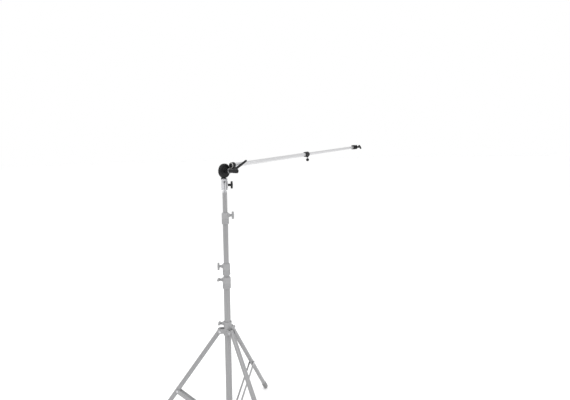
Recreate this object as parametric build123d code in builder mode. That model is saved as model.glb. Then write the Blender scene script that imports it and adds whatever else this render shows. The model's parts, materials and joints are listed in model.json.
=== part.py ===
from build123d import *
import os
from math import acos, atan2, cos, degrees, radians, sin, sqrt, tan

# Cross-braced tripod stand with a tilting grip head and a telescopic arm.
# Millimetres, +Z up, origin on the column axis at floor level, arm along +X.

# ---------------------------------------------------------------- driving dimensions
# column tubes
tube_wall = 1.0
base_tube_d = 28.6
base_tube_bottom = 18.0
riser_a_bottom = 112.0
riser_b_bottom = 356.0
riser_c_bottom = 485.0
slide_gap = 0.3            # radial gap of a part sliding on a tube
running_gap = 0.1          # radial gap of guides, shafts and bores that turn
guide_flange = 6.0
guide_spigot = 14.0
guide_wall = 2.5
cap_t = 3.0
base_cap_plug = 12.0
small_chamfer = 1.0
face_gap = 0.2             # between flat faces that turn on each other
spare = 1.0                # a cutter's run past what it cuts

# clamp collars
collar_h = 50.0
collar_wall = 4.4
collar_seat = 24.0         # depth of tube inside the collar's lower half
collar_a_bottom = 646.0
riser_a_rise = 10.0        # collar A to collar B
riser_b_rise = 178.0       # collar B to collar C
riser_c_rise = 97.0        # collar C to the stud's shoulder
collar_chamfer = 1.2
knob_drop = 12.0           # knob axis below a collar's top face
boss_d = 15.0
boss_reach = 5.0
rear_azimuth = 128.8       # side of collars A and B and of the hub knob
front_azimuth = -51.2      # side of collar C and of the socket knob

# T-knobs
screw_d = 8.0
pad_t = 2.0
knob_neck_d = 12.0
knob_neck = 8.0
knob_bar = 34.0
knob_bar_w = 10.0
knob_bar_t = 9.0
knob_bar_round = 2.5
knob_sink = 1.0            # neck into the bar, and screw into the neck
seat_gap = 0.5             # knob neck off its boss

# tripod
leg_azimuths = {"left": 136.2, "front": 256.2, "back": 16.2}
leg_d = 20.0
leg_wall = 1.2
leg_spread = 37.4          # leg off vertical
leg_clear = 7.0            # upright leg off the hub's barrel
hub_pivot_z = 457.0
hub_wall = 4.4
hub_below = 20.0           # barrel below its pivots
hub_above = 40.0
hub_knob_up = 31.0
lug_r = 10.0
lug_t = 4.0
pin_d = 6.0
pin_head = 2.5
pin_head_lip = 2.1
leg_overhang = 8.0         # leg tube past its pivot
foot_wall = 2.0
foot_sleeve = 34.0
brace_share = 313.0        # leg pivot to brace joint, along the leg
brace_w = 16.0
brace_t = 2.0
spider_pivot_z = 45.0
spider_wall = 4.0
spider_h = 24.0
spider_lug_r = 8.0
spider_pin_d = 5.0
spider_pin_lip = 2.0
side_gap = 0.3             # leg to lug, brace to leg, brace to spider

# stud and socket
stud_d = 15.9
stud_flange = 6.0
stud_length = 41.0
stud_clear = 3.0           # stud's top off the head's spigot
stud_chamfer = 1.5
stud_plug = 30.0
stud_groove = 1.45
stud_groove_h = 16.0
socket_wall = 7.05
socket_lift = 5.0          # socket off the stud's shoulder
socket_knob_up = 22.0
socket_knob_neck = 12.0
neck_spigot = 8.0
neck_pin_d = 3.0
pin_inset = 1.0

# tilting head, measured from the column axis towards the front (-Y)
neck_h = 6.5
neck_web_in = 9.75         # neck's web into the disc
axle_d = 8.0
disc_r = 32.5
disc_t = 8.5
disc_bevel = 5.0
disc_inset = 1.0           # disc face off the mid plane
washer_r = 24.0
neck_flange_r = 14.0
neck_web_w = 22.0
bolt_head_w = 13.0
bolt_head_t = 5.5
bolt_end_gap = 2.0
lever_washer_r = 11.0
lever_washer_t = 2.2
lever_barrel_r = 9.5
lever_barrel = 46.0
lever_wall = 7.0
lever_along = 17.9         # handle past the barrel's inner end
lever_angle = 26.3
lever_length = 94.0
lever_root_r = 7.0
lever_taper = 1.2

# arm
arm_rise = 3.3             # degrees above level
arm_above = 10.7           # sleeve's bore above the axle
arm_outer_d = 20.0
arm_outer_wall = 1.2
arm_inner_gap = 0.8
arm_inner_wall = 1.2
arm_outer_start = 20.0
arm_outer_end = 600.0
arm_overlap = 60.0
arm_inner_out = 522.0      # inner tube past the outer one
end_cap_plug = 10.0
end_cap_round = 1.5
clamp_start = 22.0
clamp_end = 38.0
clamp_wall = 2.5
clamp_ear_r = 12.0
clamp_lug_low = 6.0        # lower far corner of the lugs above the axle
clamp_slit = 7.0
clamp_ear_t = 7.5
liner_t = 1.1
liner_flange = 1.2
liner_flange_step = 0.6
lock_collar_wall = 4.0
lock_collar_back = 18.0    # length over the outer tube
lock_collar_front = 14.0   # length over the inner tube
lock_knob_r = 8.5
lock_stem = 5.0            # bare screw between boss and knob
lock_screw_d = 5.0
lock_boss_r = 6.0
lock_boss = 3.5
clip_side = 4.0            # clip past the inner tube, to the front
clip_cheek = 5.0           # and above it
clip_round = 3.0
clip_seat = 14.0
clip_web = 6.0
clip_jaw = 18.0
clip_channel = 12.0
clip_pad_r = 4.5
clip_pad_t = 2.2
clip_screw_d = 6.0
clip_stem = 18.0
clip_bar_turn = 45.0

# ---------------------------------------------------------------- derived sizes
tube_step = 2 * (tube_wall + slide_gap)
riser_a_d = base_tube_d - tube_step
riser_b_d = riser_a_d - tube_step
riser_c_d = riser_b_d - tube_step
collar_b_bottom = collar_a_bottom + collar_h + riser_a_rise
collar_c_bottom = collar_b_bottom + collar_h + riser_b_rise
stud_shoulder_z = collar_c_bottom + collar_h + riser_c_rise
hub_barrel_r = base_tube_d / 2 + slide_gap + hub_wall
hub_pivot_r = hub_barrel_r + leg_clear + leg_d / 2
spider_pivot_r = hub_pivot_r
hub_bottom = hub_pivot_z - hub_below
hub_top = hub_pivot_z + hub_above
hub_knob_z = hub_pivot_z + hub_knob_up
foot_r = leg_d / 2 + foot_wall
stud_top_z = stud_shoulder_z + stud_length
stud_groove_d = stud_d - 2 * stud_groove
socket_d = stud_d + 2 * socket_wall
socket_bottom = stud_shoulder_z + socket_lift
socket_top = stud_top_z + stud_clear + neck_spigot
socket_knob_z = socket_bottom + socket_knob_up
axle_z = socket_top + neck_h + disc_r
arm_inner_d = arm_outer_d - 2 * (arm_outer_wall + arm_inner_gap)
arm_inner_start = arm_outer_end - arm_overlap
arm_inner_end = arm_outer_end + arm_inner_out
lock_collar_r = arm_outer_d / 2 + lock_collar_wall
lock_boss_drop = lock_collar_r + lock_boss
lock_knob_drop = lock_boss_drop + lock_stem + lock_knob_r
clip_w = arm_inner_d + 2 * clip_side
clip_h = arm_inner_d + 2 * clip_cheek
collar_a_top = collar_a_bottom + collar_h
collar_b_top = collar_b_bottom + collar_h
collar_c_top = collar_c_bottom + collar_h
base_tube_top = collar_a_bottom + collar_seat
riser_a_top = collar_b_bottom + collar_seat
riser_b_top = collar_c_bottom + collar_seat
riser_c_top = stud_shoulder_z - stud_flange
lug_gap = leg_d + 2 * side_gap
spider_lug_w = leg_d + 2 * side_gap
brace_inside = leg_d / 2 + 2 * side_gap
spread = radians(leg_spread)
joint_r = hub_pivot_r + brace_share * sin(spread)
joint_z = hub_pivot_z - brace_share * cos(spread)
brace_length = sqrt((joint_r - spider_pivot_r) ** 2 + (joint_z - spider_pivot_z) ** 2)
leg_end = (hub_pivot_z - foot_r) / cos(spread)
rise = radians(arm_rise)
washer_t = 2 * disc_inset - face_gap
stack_front = disc_inset + disc_t
liner_r = arm_outer_d / 2 + running_gap + liner_t
clamp_bore_r = liner_r + running_gap
clamp_r = clamp_bore_r + clamp_wall
liner_flange_r = clamp_r - liner_flange_step
arm_height = clamp_bore_r + arm_above
arm_front = stack_front + clamp_r + face_gap
clamp_front = arm_front + clamp_slit / 2 + clamp_ear_t
lever_start = clamp_front + 2 * face_gap + lever_washer_t
lever_plane = lever_start + lever_along
clip_start = arm_inner_end - clip_seat
clip_end = arm_inner_end + clip_web + clip_jaw
clip_screw_at = arm_inner_end + clip_web + clip_jaw / 2
arm_along = Vector(cos(rise), 0, sin(rise))
arm_up = Vector(-sin(rise), 0, cos(rise))
axle = Vector(0, 0, axle_z)
frontward = Vector(0, -1, 0)


# ---------------------------------------------------------------- planes and helpers
def outward(azimuth, height):
    """Plane on the column axis facing out along an azimuth, local X up."""
    angle = radians(azimuth)
    return Plane(origin=(0, 0, height), x_dir=(0, 0, 1), z_dir=(cos(angle), sin(angle), 0))


def radial(azimuth):
    """Upright plane through the column axis: local X is the radius, local Y is +Z."""
    angle = radians(azimuth)
    return Plane(origin=(0, 0, 0), x_dir=(cos(angle), sin(angle), 0), z_dir=(sin(angle), -cos(angle), 0))


def across(azimuth, radius, height):
    """Plane at a pivot, facing along the tangent."""
    angle = radians(azimuth)
    centre = (radius * cos(angle), radius * sin(angle), height)
    return Plane(origin=centre, x_dir=(0, 0, 1), z_dir=(sin(angle), -cos(angle), 0))


def down_leg(azimuth, distance):
    """Plane square to a leg, at a distance from its pivot."""
    angle = radians(azimuth)
    run = Vector(sin(spread) * cos(angle), sin(spread) * sin(angle), -cos(spread))
    pivot = Vector(hub_pivot_r * cos(angle), hub_pivot_r * sin(angle), hub_pivot_z)
    return Plane(origin=pivot + run * distance, z_dir=run)


def head_plane(front):
    """Plane across the axle, facing the front, at a distance in front of the column axis."""
    return Plane(origin=axle + frontward * front, x_dir=(1, 0, 0), z_dir=(0, -1, 0))


def tilt_plane(front):
    """The same plane turned with the arm: local X runs along the arm."""
    return Plane(origin=axle + frontward * front, x_dir=arm_along, z_dir=(0, -1, 0))


def arm_plane(distance):
    """Plane square to the arm, centred on it, local X up."""
    centre = axle + arm_along * distance + arm_up * arm_height + frontward * arm_front
    return Plane(origin=centre, x_dir=arm_up, z_dir=arm_along)


def write(piece, label):
    piece.part.label = label
    export_step(piece.part, f"parts/{label}.step")


def bar(face, radius, length, bore=0.0):
    """Round bar or tube standing on a plane."""
    with BuildPart() as piece:
        with BuildSketch(face):
            Circle(radius)
            if bore:
                Circle(bore, mode=Mode.SUBTRACT)
        extrude(amount=length)
    return piece


def tube_guide(tube_face, tube_bore_r, guide_r):
    """Flanged ring plugged into a tube's end; the flange runs in the next tube."""
    with BuildPart() as piece:
        with BuildSketch(tube_face.offset(-guide_flange)):
            Circle(guide_r)
        extrude(amount=guide_flange)
        with BuildSketch(tube_face):
            Circle(tube_bore_r)
        extrude(amount=guide_spigot)
        with BuildSketch(tube_face.offset(-guide_flange)):
            Circle(tube_bore_r - guide_wall)
        extrude(amount=guide_flange + guide_spigot, mode=Mode.SUBTRACT)
    return piece


def t_knob(face, tip, seat, thread_d, neck, bar_turn):
    """Threaded stem, neck and rounded crossbar, along a plane's normal."""
    with BuildPart() as piece:
        with BuildSketch(face.offset(seat + neck)):
            with Locations(Rotation(0, 0, bar_turn)):
                SlotOverall(knob_bar, knob_bar_w)
        extrude(amount=knob_bar_t)
        fillet(piece.edges(), knob_bar_round)
        with BuildSketch(face.offset(seat)):
            Circle(knob_neck_d / 2)
        extrude(amount=neck + knob_sink)
        with BuildSketch(face.offset(tip)):
            Circle(thread_d / 2)
        extrude(amount=seat + knob_sink - tip)
    return piece


def clamp_collar(lower_d, upper_d, bottom, azimuth):
    """Collar seated on a tube's top end, clamping the tube that slides inside it."""
    radius = lower_d / 2 + collar_wall
    knob_z = bottom + collar_h - knob_drop
    with BuildPart() as piece:
        with BuildSketch(Plane.XY.offset(bottom)):
            Circle(radius)
        extrude(amount=collar_h)
        chamfer(piece.edges(), collar_chamfer)
        with BuildSketch(outward(azimuth, knob_z)):
            Circle(boss_d / 2)
        extrude(amount=radius + boss_reach)
        with BuildSketch(Plane.XY.offset(bottom)):
            Circle(lower_d / 2)
        extrude(amount=collar_seat, mode=Mode.SUBTRACT)
        with BuildSketch(Plane.XY.offset(bottom + collar_seat)):
            Circle(upper_d / 2 + slide_gap)
        extrude(amount=collar_h - collar_seat, mode=Mode.SUBTRACT)
        with BuildSketch(outward(azimuth, knob_z)):
            Circle(screw_d / 2 + running_gap)
        extrude(amount=radius + boss_reach, mode=Mode.SUBTRACT)
    return piece


def brake_pad(tube_d, azimuth, height):
    """Pad between a clamp screw and the tube it holds."""
    face = outward(azimuth, height).offset(tube_d / 2 + slide_gap)
    return bar(face, screw_d / 2 - running_gap, pad_t)


def collar_knob(lower_d, upper_d, bottom, azimuth, bar_turn):
    face = outward(azimuth, bottom + collar_h - knob_drop)
    tip = upper_d / 2 + slide_gap + pad_t + running_gap
    seat = lower_d / 2 + collar_wall + boss_reach + seat_gap
    return t_knob(face, tip, seat, screw_d, knob_neck, bar_turn)


os.makedirs("parts", exist_ok=True)

# ---------------------------------------------------------------- column
tubes = {
    "base_tube": (base_tube_d, base_tube_bottom, base_tube_top),
    "riser_a": (riser_a_d, riser_a_bottom, riser_a_top),
    "riser_b": (riser_b_d, riser_b_bottom, riser_b_top),
    "riser_c": (riser_c_d, riser_c_bottom, riser_c_top),
}
for name, (outside, bottom, top) in tubes.items():
    face = Plane.XY.offset(bottom)
    write(bar(face, outside / 2, top - bottom, bore=outside / 2 - tube_wall), name)

with BuildPart() as base_cap:
    with BuildSketch(Plane.XY.offset(base_tube_bottom - cap_t)):
        Circle(base_tube_d / 2)
    extrude(amount=cap_t)
    chamfer(base_cap.edges().group_by(Axis.Z)[0], small_chamfer)
    with BuildSketch(Plane.XY.offset(base_tube_bottom)):
        Circle(base_tube_d / 2 - tube_wall)
    extrude(amount=base_cap_plug)
write(base_cap, "base_cap")

riser_guides = {
    "riser_a_guide": (riser_a_d, base_tube_d, riser_a_bottom),
    "riser_b_guide": (riser_b_d, riser_a_d, riser_b_bottom),
    "riser_c_guide": (riser_c_d, riser_b_d, riser_c_bottom),
}
for name, (inner_d, outer_d, bottom) in riser_guides.items():
    guide_r = outer_d / 2 - tube_wall - running_gap
    write(tube_guide(Plane.XY.offset(bottom), inner_d / 2 - tube_wall, guide_r), name)

collars = {
    "collar_a": (base_tube_d, riser_a_d, collar_a_bottom, rear_azimuth, 90.0),
    "collar_b": (riser_a_d, riser_b_d, collar_b_bottom, rear_azimuth, 0.0),
    "collar_c": (riser_b_d, riser_c_d, collar_c_bottom, front_azimuth, 0.0),
}
for name, (lower_d, upper_d, bottom, azimuth, bar_turn) in collars.items():
    write(clamp_collar(lower_d, upper_d, bottom, azimuth), name)
    write(brake_pad(upper_d, azimuth, bottom + collar_h - knob_drop), name + "_pad")
    write(collar_knob(lower_d, upper_d, bottom, azimuth, bar_turn), name + "_knob")

# ---------------------------------------------------------------- tripod
with BuildPart() as leg_hub:
    with BuildSketch(Plane.XY.offset(hub_bottom)):
        Circle(hub_barrel_r)
    extrude(amount=hub_top - hub_bottom)
    chamfer(leg_hub.edges(), collar_chamfer)
    for azimuth in leg_azimuths.values():
        for side in (-1, 1):
            with BuildSketch(radial(azimuth).offset(side * (lug_gap + lug_t) / 2)):
                with Locations((hub_pivot_r / 2, hub_pivot_z)):
                    Rectangle(hub_pivot_r, 2 * lug_r)
                with Locations((hub_pivot_r, hub_pivot_z)):
                    Circle(lug_r)
            extrude(amount=lug_t / 2, both=True)
    with BuildSketch(outward(rear_azimuth, hub_knob_z)):
        Circle(boss_d / 2)
    extrude(amount=hub_barrel_r + boss_reach)
    with BuildSketch(Plane.XY.offset(hub_bottom)):
        Circle(base_tube_d / 2 + slide_gap)
    extrude(amount=hub_top - hub_bottom, mode=Mode.SUBTRACT)
    with BuildSketch(outward(rear_azimuth, hub_knob_z)):
        Circle(screw_d / 2 + running_gap)
    extrude(amount=hub_barrel_r + boss_reach, mode=Mode.SUBTRACT)
    for azimuth in leg_azimuths.values():
        with BuildSketch(across(azimuth, hub_pivot_r, hub_pivot_z)):
            Circle(pin_d / 2)
        extrude(amount=lug_gap / 2 + lug_t, both=True, mode=Mode.SUBTRACT)
write(leg_hub, "leg_hub")

write(brake_pad(base_tube_d, rear_azimuth, hub_knob_z), "hub_pad")
hub_knob_tip = base_tube_d / 2 + slide_gap + pad_t + running_gap
hub_knob_seat = hub_barrel_r + boss_reach + seat_gap
hub_knob_face = outward(rear_azimuth, hub_knob_z)
write(t_knob(hub_knob_face, hub_knob_tip, hub_knob_seat, screw_d, knob_neck, 90.0), "hub_knob")

with BuildPart() as hub_pins:
    for azimuth in leg_azimuths.values():
        pivot = across(azimuth, hub_pivot_r, hub_pivot_z)
        with BuildSketch(pivot):
            Circle(pin_d / 2)
        extrude(amount=lug_gap / 2 + lug_t, both=True)
        for side in (-1, 1):
            with BuildSketch(pivot.offset(side * (lug_gap / 2 + lug_t + pin_head / 2))):
                Circle(pin_d / 2 + pin_head_lip)
            extrude(amount=pin_head / 2, both=True)
write(hub_pins, "hub_pins")

with BuildPart() as brace_spider:
    with BuildSketch(Plane.XY.offset(spider_pivot_z - spider_h / 2)):
        Circle(base_tube_d / 2 + spider_wall)
    extrude(amount=spider_h)
    chamfer(brace_spider.edges(), small_chamfer)
    for azimuth in leg_azimuths.values():
        with BuildSketch(radial(azimuth)):
            with Locations((spider_pivot_r / 2, spider_pivot_z)):
                Rectangle(spider_pivot_r, 2 * spider_lug_r)
            with Locations((spider_pivot_r, spider_pivot_z)):
                Circle(spider_lug_r)
        extrude(amount=spider_lug_w / 2, both=True)
    with BuildSketch(Plane.XY.offset(spider_pivot_z - spider_h / 2)):
        Circle(base_tube_d / 2)
    extrude(amount=spider_h, mode=Mode.SUBTRACT)
    for azimuth in leg_azimuths.values():
        with BuildSketch(across(azimuth, spider_pivot_r, spider_pivot_z)):
            Circle(spider_pin_d / 2)
        extrude(amount=spider_lug_w / 2, both=True, mode=Mode.SUBTRACT)
write(brace_spider, "brace_spider")

with BuildPart() as spider_pins:
    for azimuth in leg_azimuths.values():
        pivot = across(azimuth, spider_pivot_r, spider_pivot_z)
        pin_half = brace_inside + brace_t + side_gap
        with BuildSketch(pivot):
            Circle(spider_pin_d / 2)
        extrude(amount=pin_half, both=True)
        for side in (-1, 1):
            with BuildSketch(pivot.offset(side * (pin_half + pin_head / 2))):
                Circle(spider_pin_d / 2 + spider_pin_lip)
            extrude(amount=pin_head / 2, both=True)
write(spider_pins, "spider_pins")

for name, azimuth in leg_azimuths.items():
    with BuildPart() as leg:
        with BuildSketch(down_leg(azimuth, -leg_overhang)):
            Circle(leg_d / 2)
            Circle(leg_d / 2 - leg_wall, mode=Mode.SUBTRACT)
        extrude(amount=leg_overhang + leg_end - foot_r / 2)
        with BuildSketch(across(azimuth, hub_pivot_r, hub_pivot_z)):
            Circle(pin_d / 2 + running_gap)
        extrude(amount=leg_d, both=True, mode=Mode.SUBTRACT)
    write(leg, f"leg_{name}")

    with BuildPart() as foot:
        with BuildSketch(down_leg(azimuth, leg_end - foot_sleeve)):
            Circle(foot_r)
        extrude(amount=foot_sleeve)
        with Locations(down_leg(azimuth, leg_end)):
            Sphere(foot_r)
        with BuildSketch(down_leg(azimuth, leg_end - foot_sleeve)):
            Circle(leg_d / 2)
        extrude(amount=foot_sleeve - foot_r / 2, mode=Mode.SUBTRACT)
    write(foot, f"foot_{name}")

    angle = radians(azimuth)
    middle_r = (spider_pivot_r + joint_r) / 2
    middle_z = (spider_pivot_z + joint_z) / 2
    climb = (joint_z - spider_pivot_z) / brace_length
    reach = (joint_r - spider_pivot_r) / brace_length
    brace_face = Plane(
        origin=(middle_r * cos(angle), middle_r * sin(angle), middle_z),
        x_dir=(reach * cos(angle), reach * sin(angle), climb),
        z_dir=(sin(angle), -cos(angle), 0),
    )
    with BuildPart() as brace:
        for side in (-1, 1):
            with BuildSketch(brace_face.offset(side * (brace_inside + brace_t / 2))):
                SlotCenterToCenter(brace_length, brace_w)
                with Locations((-brace_length / 2, 0)):
                    Circle(spider_pin_d / 2 + running_gap, mode=Mode.SUBTRACT)
                with Locations((brace_length / 2, 0)):
                    Circle(pin_d / 2, mode=Mode.SUBTRACT)
            extrude(amount=brace_t / 2, both=True)
    write(brace, f"brace_{name}")

    with BuildPart() as rivets:
        pivot = across(azimuth, joint_r, joint_z)
        for side in (-1, 1):
            with BuildSketch(pivot.offset(side * (brace_inside + brace_t / 2))):
                Circle(pin_d / 2)
            extrude(amount=brace_t / 2, both=True)
            with BuildSketch(pivot.offset(side * (brace_inside + brace_t + pin_head / 2))):
                Circle(pin_d / 2 + pin_head_lip)
            extrude(amount=pin_head / 2, both=True)
    write(rivets, f"brace_rivets_{name}")

# ---------------------------------------------------------------- stud and socket
with BuildPart() as stud:
    with BuildSketch(Plane.XY.offset(riser_c_top - stud_plug)):
        Circle(riser_c_d / 2 - tube_wall)
    extrude(amount=stud_plug)
    with BuildSketch(Plane.XY.offset(riser_c_top)):
        Circle(riser_c_d / 2)
    extrude(amount=stud_flange)
    with BuildSketch(Plane.XY.offset(stud_shoulder_z)):
        Circle(stud_d / 2)
    extrude(amount=stud_top_z - stud_shoulder_z)
    chamfer(stud.edges().group_by(Axis.Z)[-1], stud_chamfer)
    with BuildSketch(Plane.XY.offset(socket_knob_z - stud_groove_h / 2)):
        Circle(stud_d / 2 + spare)
        Circle(stud_groove_d / 2, mode=Mode.SUBTRACT)
    extrude(amount=stud_groove_h, mode=Mode.SUBTRACT)
write(stud, "stud")

socket_bore_r = stud_d / 2 + running_gap
with BuildPart() as stud_socket:
    with BuildSketch(Plane.XY.offset(socket_bottom)):
        Circle(socket_d / 2)
    extrude(amount=socket_top - socket_bottom)
    chamfer(stud_socket.edges(), small_chamfer)
    with BuildSketch(Plane.XY.offset(socket_bottom)):
        Circle(socket_bore_r)
    extrude(amount=socket_top - socket_bottom, mode=Mode.SUBTRACT)
    with BuildSketch(outward(front_azimuth, socket_knob_z)):
        Circle(screw_d / 2 + running_gap)
    extrude(amount=socket_d, mode=Mode.SUBTRACT)
    with BuildSketch(Plane.YZ.offset(-socket_d / 2)):
        with Locations((0, socket_top - neck_spigot / 2)):
            Circle(neck_pin_d / 2)
    extrude(amount=socket_d, mode=Mode.SUBTRACT)
write(stud_socket, "stud_socket")

socket_knob_face = outward(front_azimuth, socket_knob_z)
socket_knob_tip = stud_groove_d / 2 + slide_gap
socket_knob_seat = socket_d / 2 + seat_gap
write(t_knob(socket_knob_face, socket_knob_tip, socket_knob_seat, screw_d, socket_knob_neck, 0.0), "socket_knob")

neck_pin_face = Plane.YZ.offset(-socket_d / 2 + pin_inset)
with BuildPart() as neck_pin:
    with BuildSketch(neck_pin_face):
        with Locations((0, socket_top - neck_spigot / 2)):
            Circle(neck_pin_d / 2)
    extrude(amount=socket_d - 2 * pin_inset)
write(neck_pin, "neck_pin")

# ---------------------------------------------------------------- tilting head
with BuildPart() as tilt_disc_rear:
    with BuildSketch(head_plane(-stack_front)):
        Circle(disc_r)
    extrude(amount=disc_t)
    chamfer(tilt_disc_rear.edges().group_by(Axis.Y)[-1], disc_bevel)
    with BuildSketch(Plane.XY.offset(socket_top)):
        with Locations((0, stack_front - disc_t / 2)):
            Rectangle(neck_web_w, disc_t)
    extrude(amount=axle_z - disc_r + neck_web_in - socket_top)
    with BuildSketch(Plane.XY.offset(socket_top)):
        Circle(neck_flange_r)
    extrude(amount=neck_h - disc_inset)
    with BuildSketch(Plane.XY.offset(socket_top - neck_spigot)):
        Circle(socket_bore_r)
    extrude(amount=neck_spigot)
    with BuildSketch(Plane.YZ.offset(-socket_d / 2)):
        with Locations((0, socket_top - neck_spigot / 2)):
            Circle(neck_pin_d / 2)
    extrude(amount=socket_d, mode=Mode.SUBTRACT)
    with BuildSketch(head_plane(-stack_front)):
        Circle(axle_d / 2)
    extrude(amount=disc_t, mode=Mode.SUBTRACT)
write(tilt_disc_rear, "tilt_disc_rear")

washer_face = head_plane(-disc_inset)
write(bar(washer_face, washer_r, washer_t, bore=axle_d / 2), "friction_washer")

with BuildPart() as tilt_disc_front:
    with BuildSketch(head_plane(disc_inset)):
        Circle(disc_r)
    extrude(amount=disc_t)
    chamfer(tilt_disc_front.edges().group_by(Axis.Y)[0], disc_bevel)
    with BuildSketch(head_plane(disc_inset)):
        Circle(axle_d / 2 + running_gap)
    extrude(amount=disc_t, mode=Mode.SUBTRACT)
write(tilt_disc_front, "tilt_disc_front")

with BuildPart() as axle_bolt:
    with BuildSketch(head_plane(-stack_front - bolt_head_t)):
        RegularPolygon(bolt_head_w / 2, 6, major_radius=False)
    extrude(amount=bolt_head_t)
    with BuildSketch(head_plane(-stack_front)):
        Circle(axle_d / 2)
    extrude(amount=stack_front + lever_start + lever_barrel - lever_wall - bolt_end_gap)
write(axle_bolt, "axle_bolt")

lug_top = arm_height - clamp_r
lug_reach = sqrt(clamp_end ** 2 + clamp_lug_low ** 2)
lug_tangent = atan2(clamp_lug_low, clamp_end) - acos(clamp_ear_r / lug_reach)
lug_foot = (clamp_ear_r * cos(lug_tangent), clamp_ear_r * sin(lug_tangent))
clamp_lug = [(0, 0), (0, lug_top), (clamp_start, lug_top), (clamp_start, arm_height),
             (clamp_end, arm_height), (clamp_end, clamp_lug_low), lug_foot]
with BuildPart() as arm_clamp:
    with BuildSketch(tilt_plane(stack_front)):
        Circle(clamp_ear_r)
        with BuildLine():
            Polyline(*clamp_lug, close=True)
        make_face()
    extrude(amount=clamp_front - stack_front)
    with BuildSketch(arm_plane(clamp_start)):
        Circle(clamp_r)
    extrude(amount=clamp_end - clamp_start)
    slit_length = clamp_end + 2 * clamp_ear_r
    with BuildSketch(tilt_plane(arm_front - clamp_slit / 2)):
        with Locations((0, (arm_height - clamp_ear_r) / 2)):
            Rectangle(2 * slit_length, arm_height + clamp_ear_r + spare)
    extrude(amount=clamp_slit, mode=Mode.SUBTRACT)
    with BuildSketch(arm_plane(clamp_start)):
        Circle(clamp_bore_r)
    extrude(amount=clamp_end - clamp_start, mode=Mode.SUBTRACT)
    with BuildSketch(head_plane(stack_front)):
        Circle(axle_d / 2 + running_gap)
    extrude(amount=clamp_front - stack_front, mode=Mode.SUBTRACT)
write(arm_clamp, "arm_clamp")

with BuildPart() as clamp_liner:
    with BuildSketch(arm_plane(clamp_start - liner_flange - running_gap)):
        Circle(liner_r)
    extrude(amount=clamp_end - clamp_start + 2 * (liner_flange + running_gap))
    for start in (clamp_start - liner_flange - running_gap, clamp_end + running_gap):
        with BuildSketch(arm_plane(start)):
            Circle(liner_flange_r)
        extrude(amount=liner_flange)
    with BuildSketch(arm_plane(clamp_start - liner_flange - running_gap)):
        Circle(arm_outer_d / 2 + running_gap)
    extrude(amount=clamp_end - clamp_start + 2 * (liner_flange + running_gap), mode=Mode.SUBTRACT)
write(clamp_liner, "clamp_liner")

lever_washer_face = head_plane(clamp_front + face_gap)
lever_washer_bore = axle_d / 2 + running_gap
write(bar(lever_washer_face, lever_washer_r, lever_washer_t, bore=lever_washer_bore), "lever_washer")

lever_turn = radians(lever_angle)
lever_out = Vector(cos(lever_turn), 0, sin(lever_turn))
lever_face = Plane(origin=axle + frontward * lever_plane, x_dir=(0, 1, 0), z_dir=lever_out)
lever_tip_r = lever_root_r - tan(radians(lever_taper)) * lever_length
with BuildPart() as clamp_lever:
    with BuildSketch(lever_face):
        Circle(lever_root_r)
    extrude(amount=lever_length, taper=lever_taper)
    with Locations(lever_face.offset(lever_length)):
        Sphere(lever_tip_r)
    with BuildSketch(head_plane(lever_start)):
        Circle(lever_barrel_r)
    extrude(amount=lever_barrel)
    with BuildSketch(head_plane(lever_start)):
        Circle(axle_d / 2 + running_gap)
    extrude(amount=lever_barrel - lever_wall, mode=Mode.SUBTRACT)
write(clamp_lever, "clamp_lever")

# ---------------------------------------------------------------- arm
outer_bore_r = arm_outer_d / 2 - arm_outer_wall
inner_bore_r = arm_inner_d / 2 - arm_inner_wall
outer_face = arm_plane(arm_outer_start)
inner_face = arm_plane(arm_inner_start)
write(bar(outer_face, arm_outer_d / 2, arm_outer_end - arm_outer_start, bore=outer_bore_r), "arm_outer_tube")
write(bar(inner_face, arm_inner_d / 2, arm_inner_end - arm_inner_start, bore=inner_bore_r), "arm_inner_tube")
write(tube_guide(inner_face, inner_bore_r, outer_bore_r - running_gap), "arm_guide")

with BuildPart() as arm_end_cap:
    with BuildSketch(arm_plane(arm_outer_start - cap_t)):
        Circle(arm_outer_d / 2)
    extrude(amount=cap_t)
    fillet(arm_end_cap.edges().group_by(Axis.X)[0], end_cap_round)
    with BuildSketch(outer_face):
        Circle(outer_bore_r)
    extrude(amount=end_cap_plug)
write(arm_end_cap, "arm_end_cap")

lock_start = arm_outer_end - lock_collar_back
lock_length = lock_collar_back + lock_collar_front
lock_middle = arm_plane(arm_outer_end + lock_collar_front / 2)
lock_down = Plane(origin=lock_middle.origin, x_dir=arm_along, z_dir=arm_up * -1)
with BuildPart() as arm_lock_collar:
    with BuildSketch(arm_plane(lock_start)):
        Circle(lock_collar_r)
    extrude(amount=lock_length)
    chamfer(arm_lock_collar.edges(), small_chamfer)
    with BuildSketch(lock_down):
        Circle(lock_boss_r)
    extrude(amount=lock_boss_drop)
    with BuildSketch(arm_plane(lock_start)):
        Circle(arm_outer_d / 2)
    extrude(amount=lock_collar_back, mode=Mode.SUBTRACT)
    with BuildSketch(arm_plane(arm_outer_end)):
        Circle(arm_inner_d / 2 + slide_gap)
    extrude(amount=lock_collar_front, mode=Mode.SUBTRACT)
    with BuildSketch(lock_down):
        Circle(lock_screw_d / 2 + running_gap)
    extrude(amount=lock_boss_drop, mode=Mode.SUBTRACT)
write(arm_lock_collar, "arm_lock_collar")

with BuildPart() as arm_lock_knob:
    with Locations(lock_down.offset(lock_knob_drop)):
        Sphere(lock_knob_r)
    with BuildSketch(lock_down.offset(arm_inner_d / 2 + slide_gap)):
        Circle(lock_screw_d / 2)
    extrude(amount=lock_knob_drop - arm_inner_d / 2)
write(arm_lock_knob, "arm_lock_knob")

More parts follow.
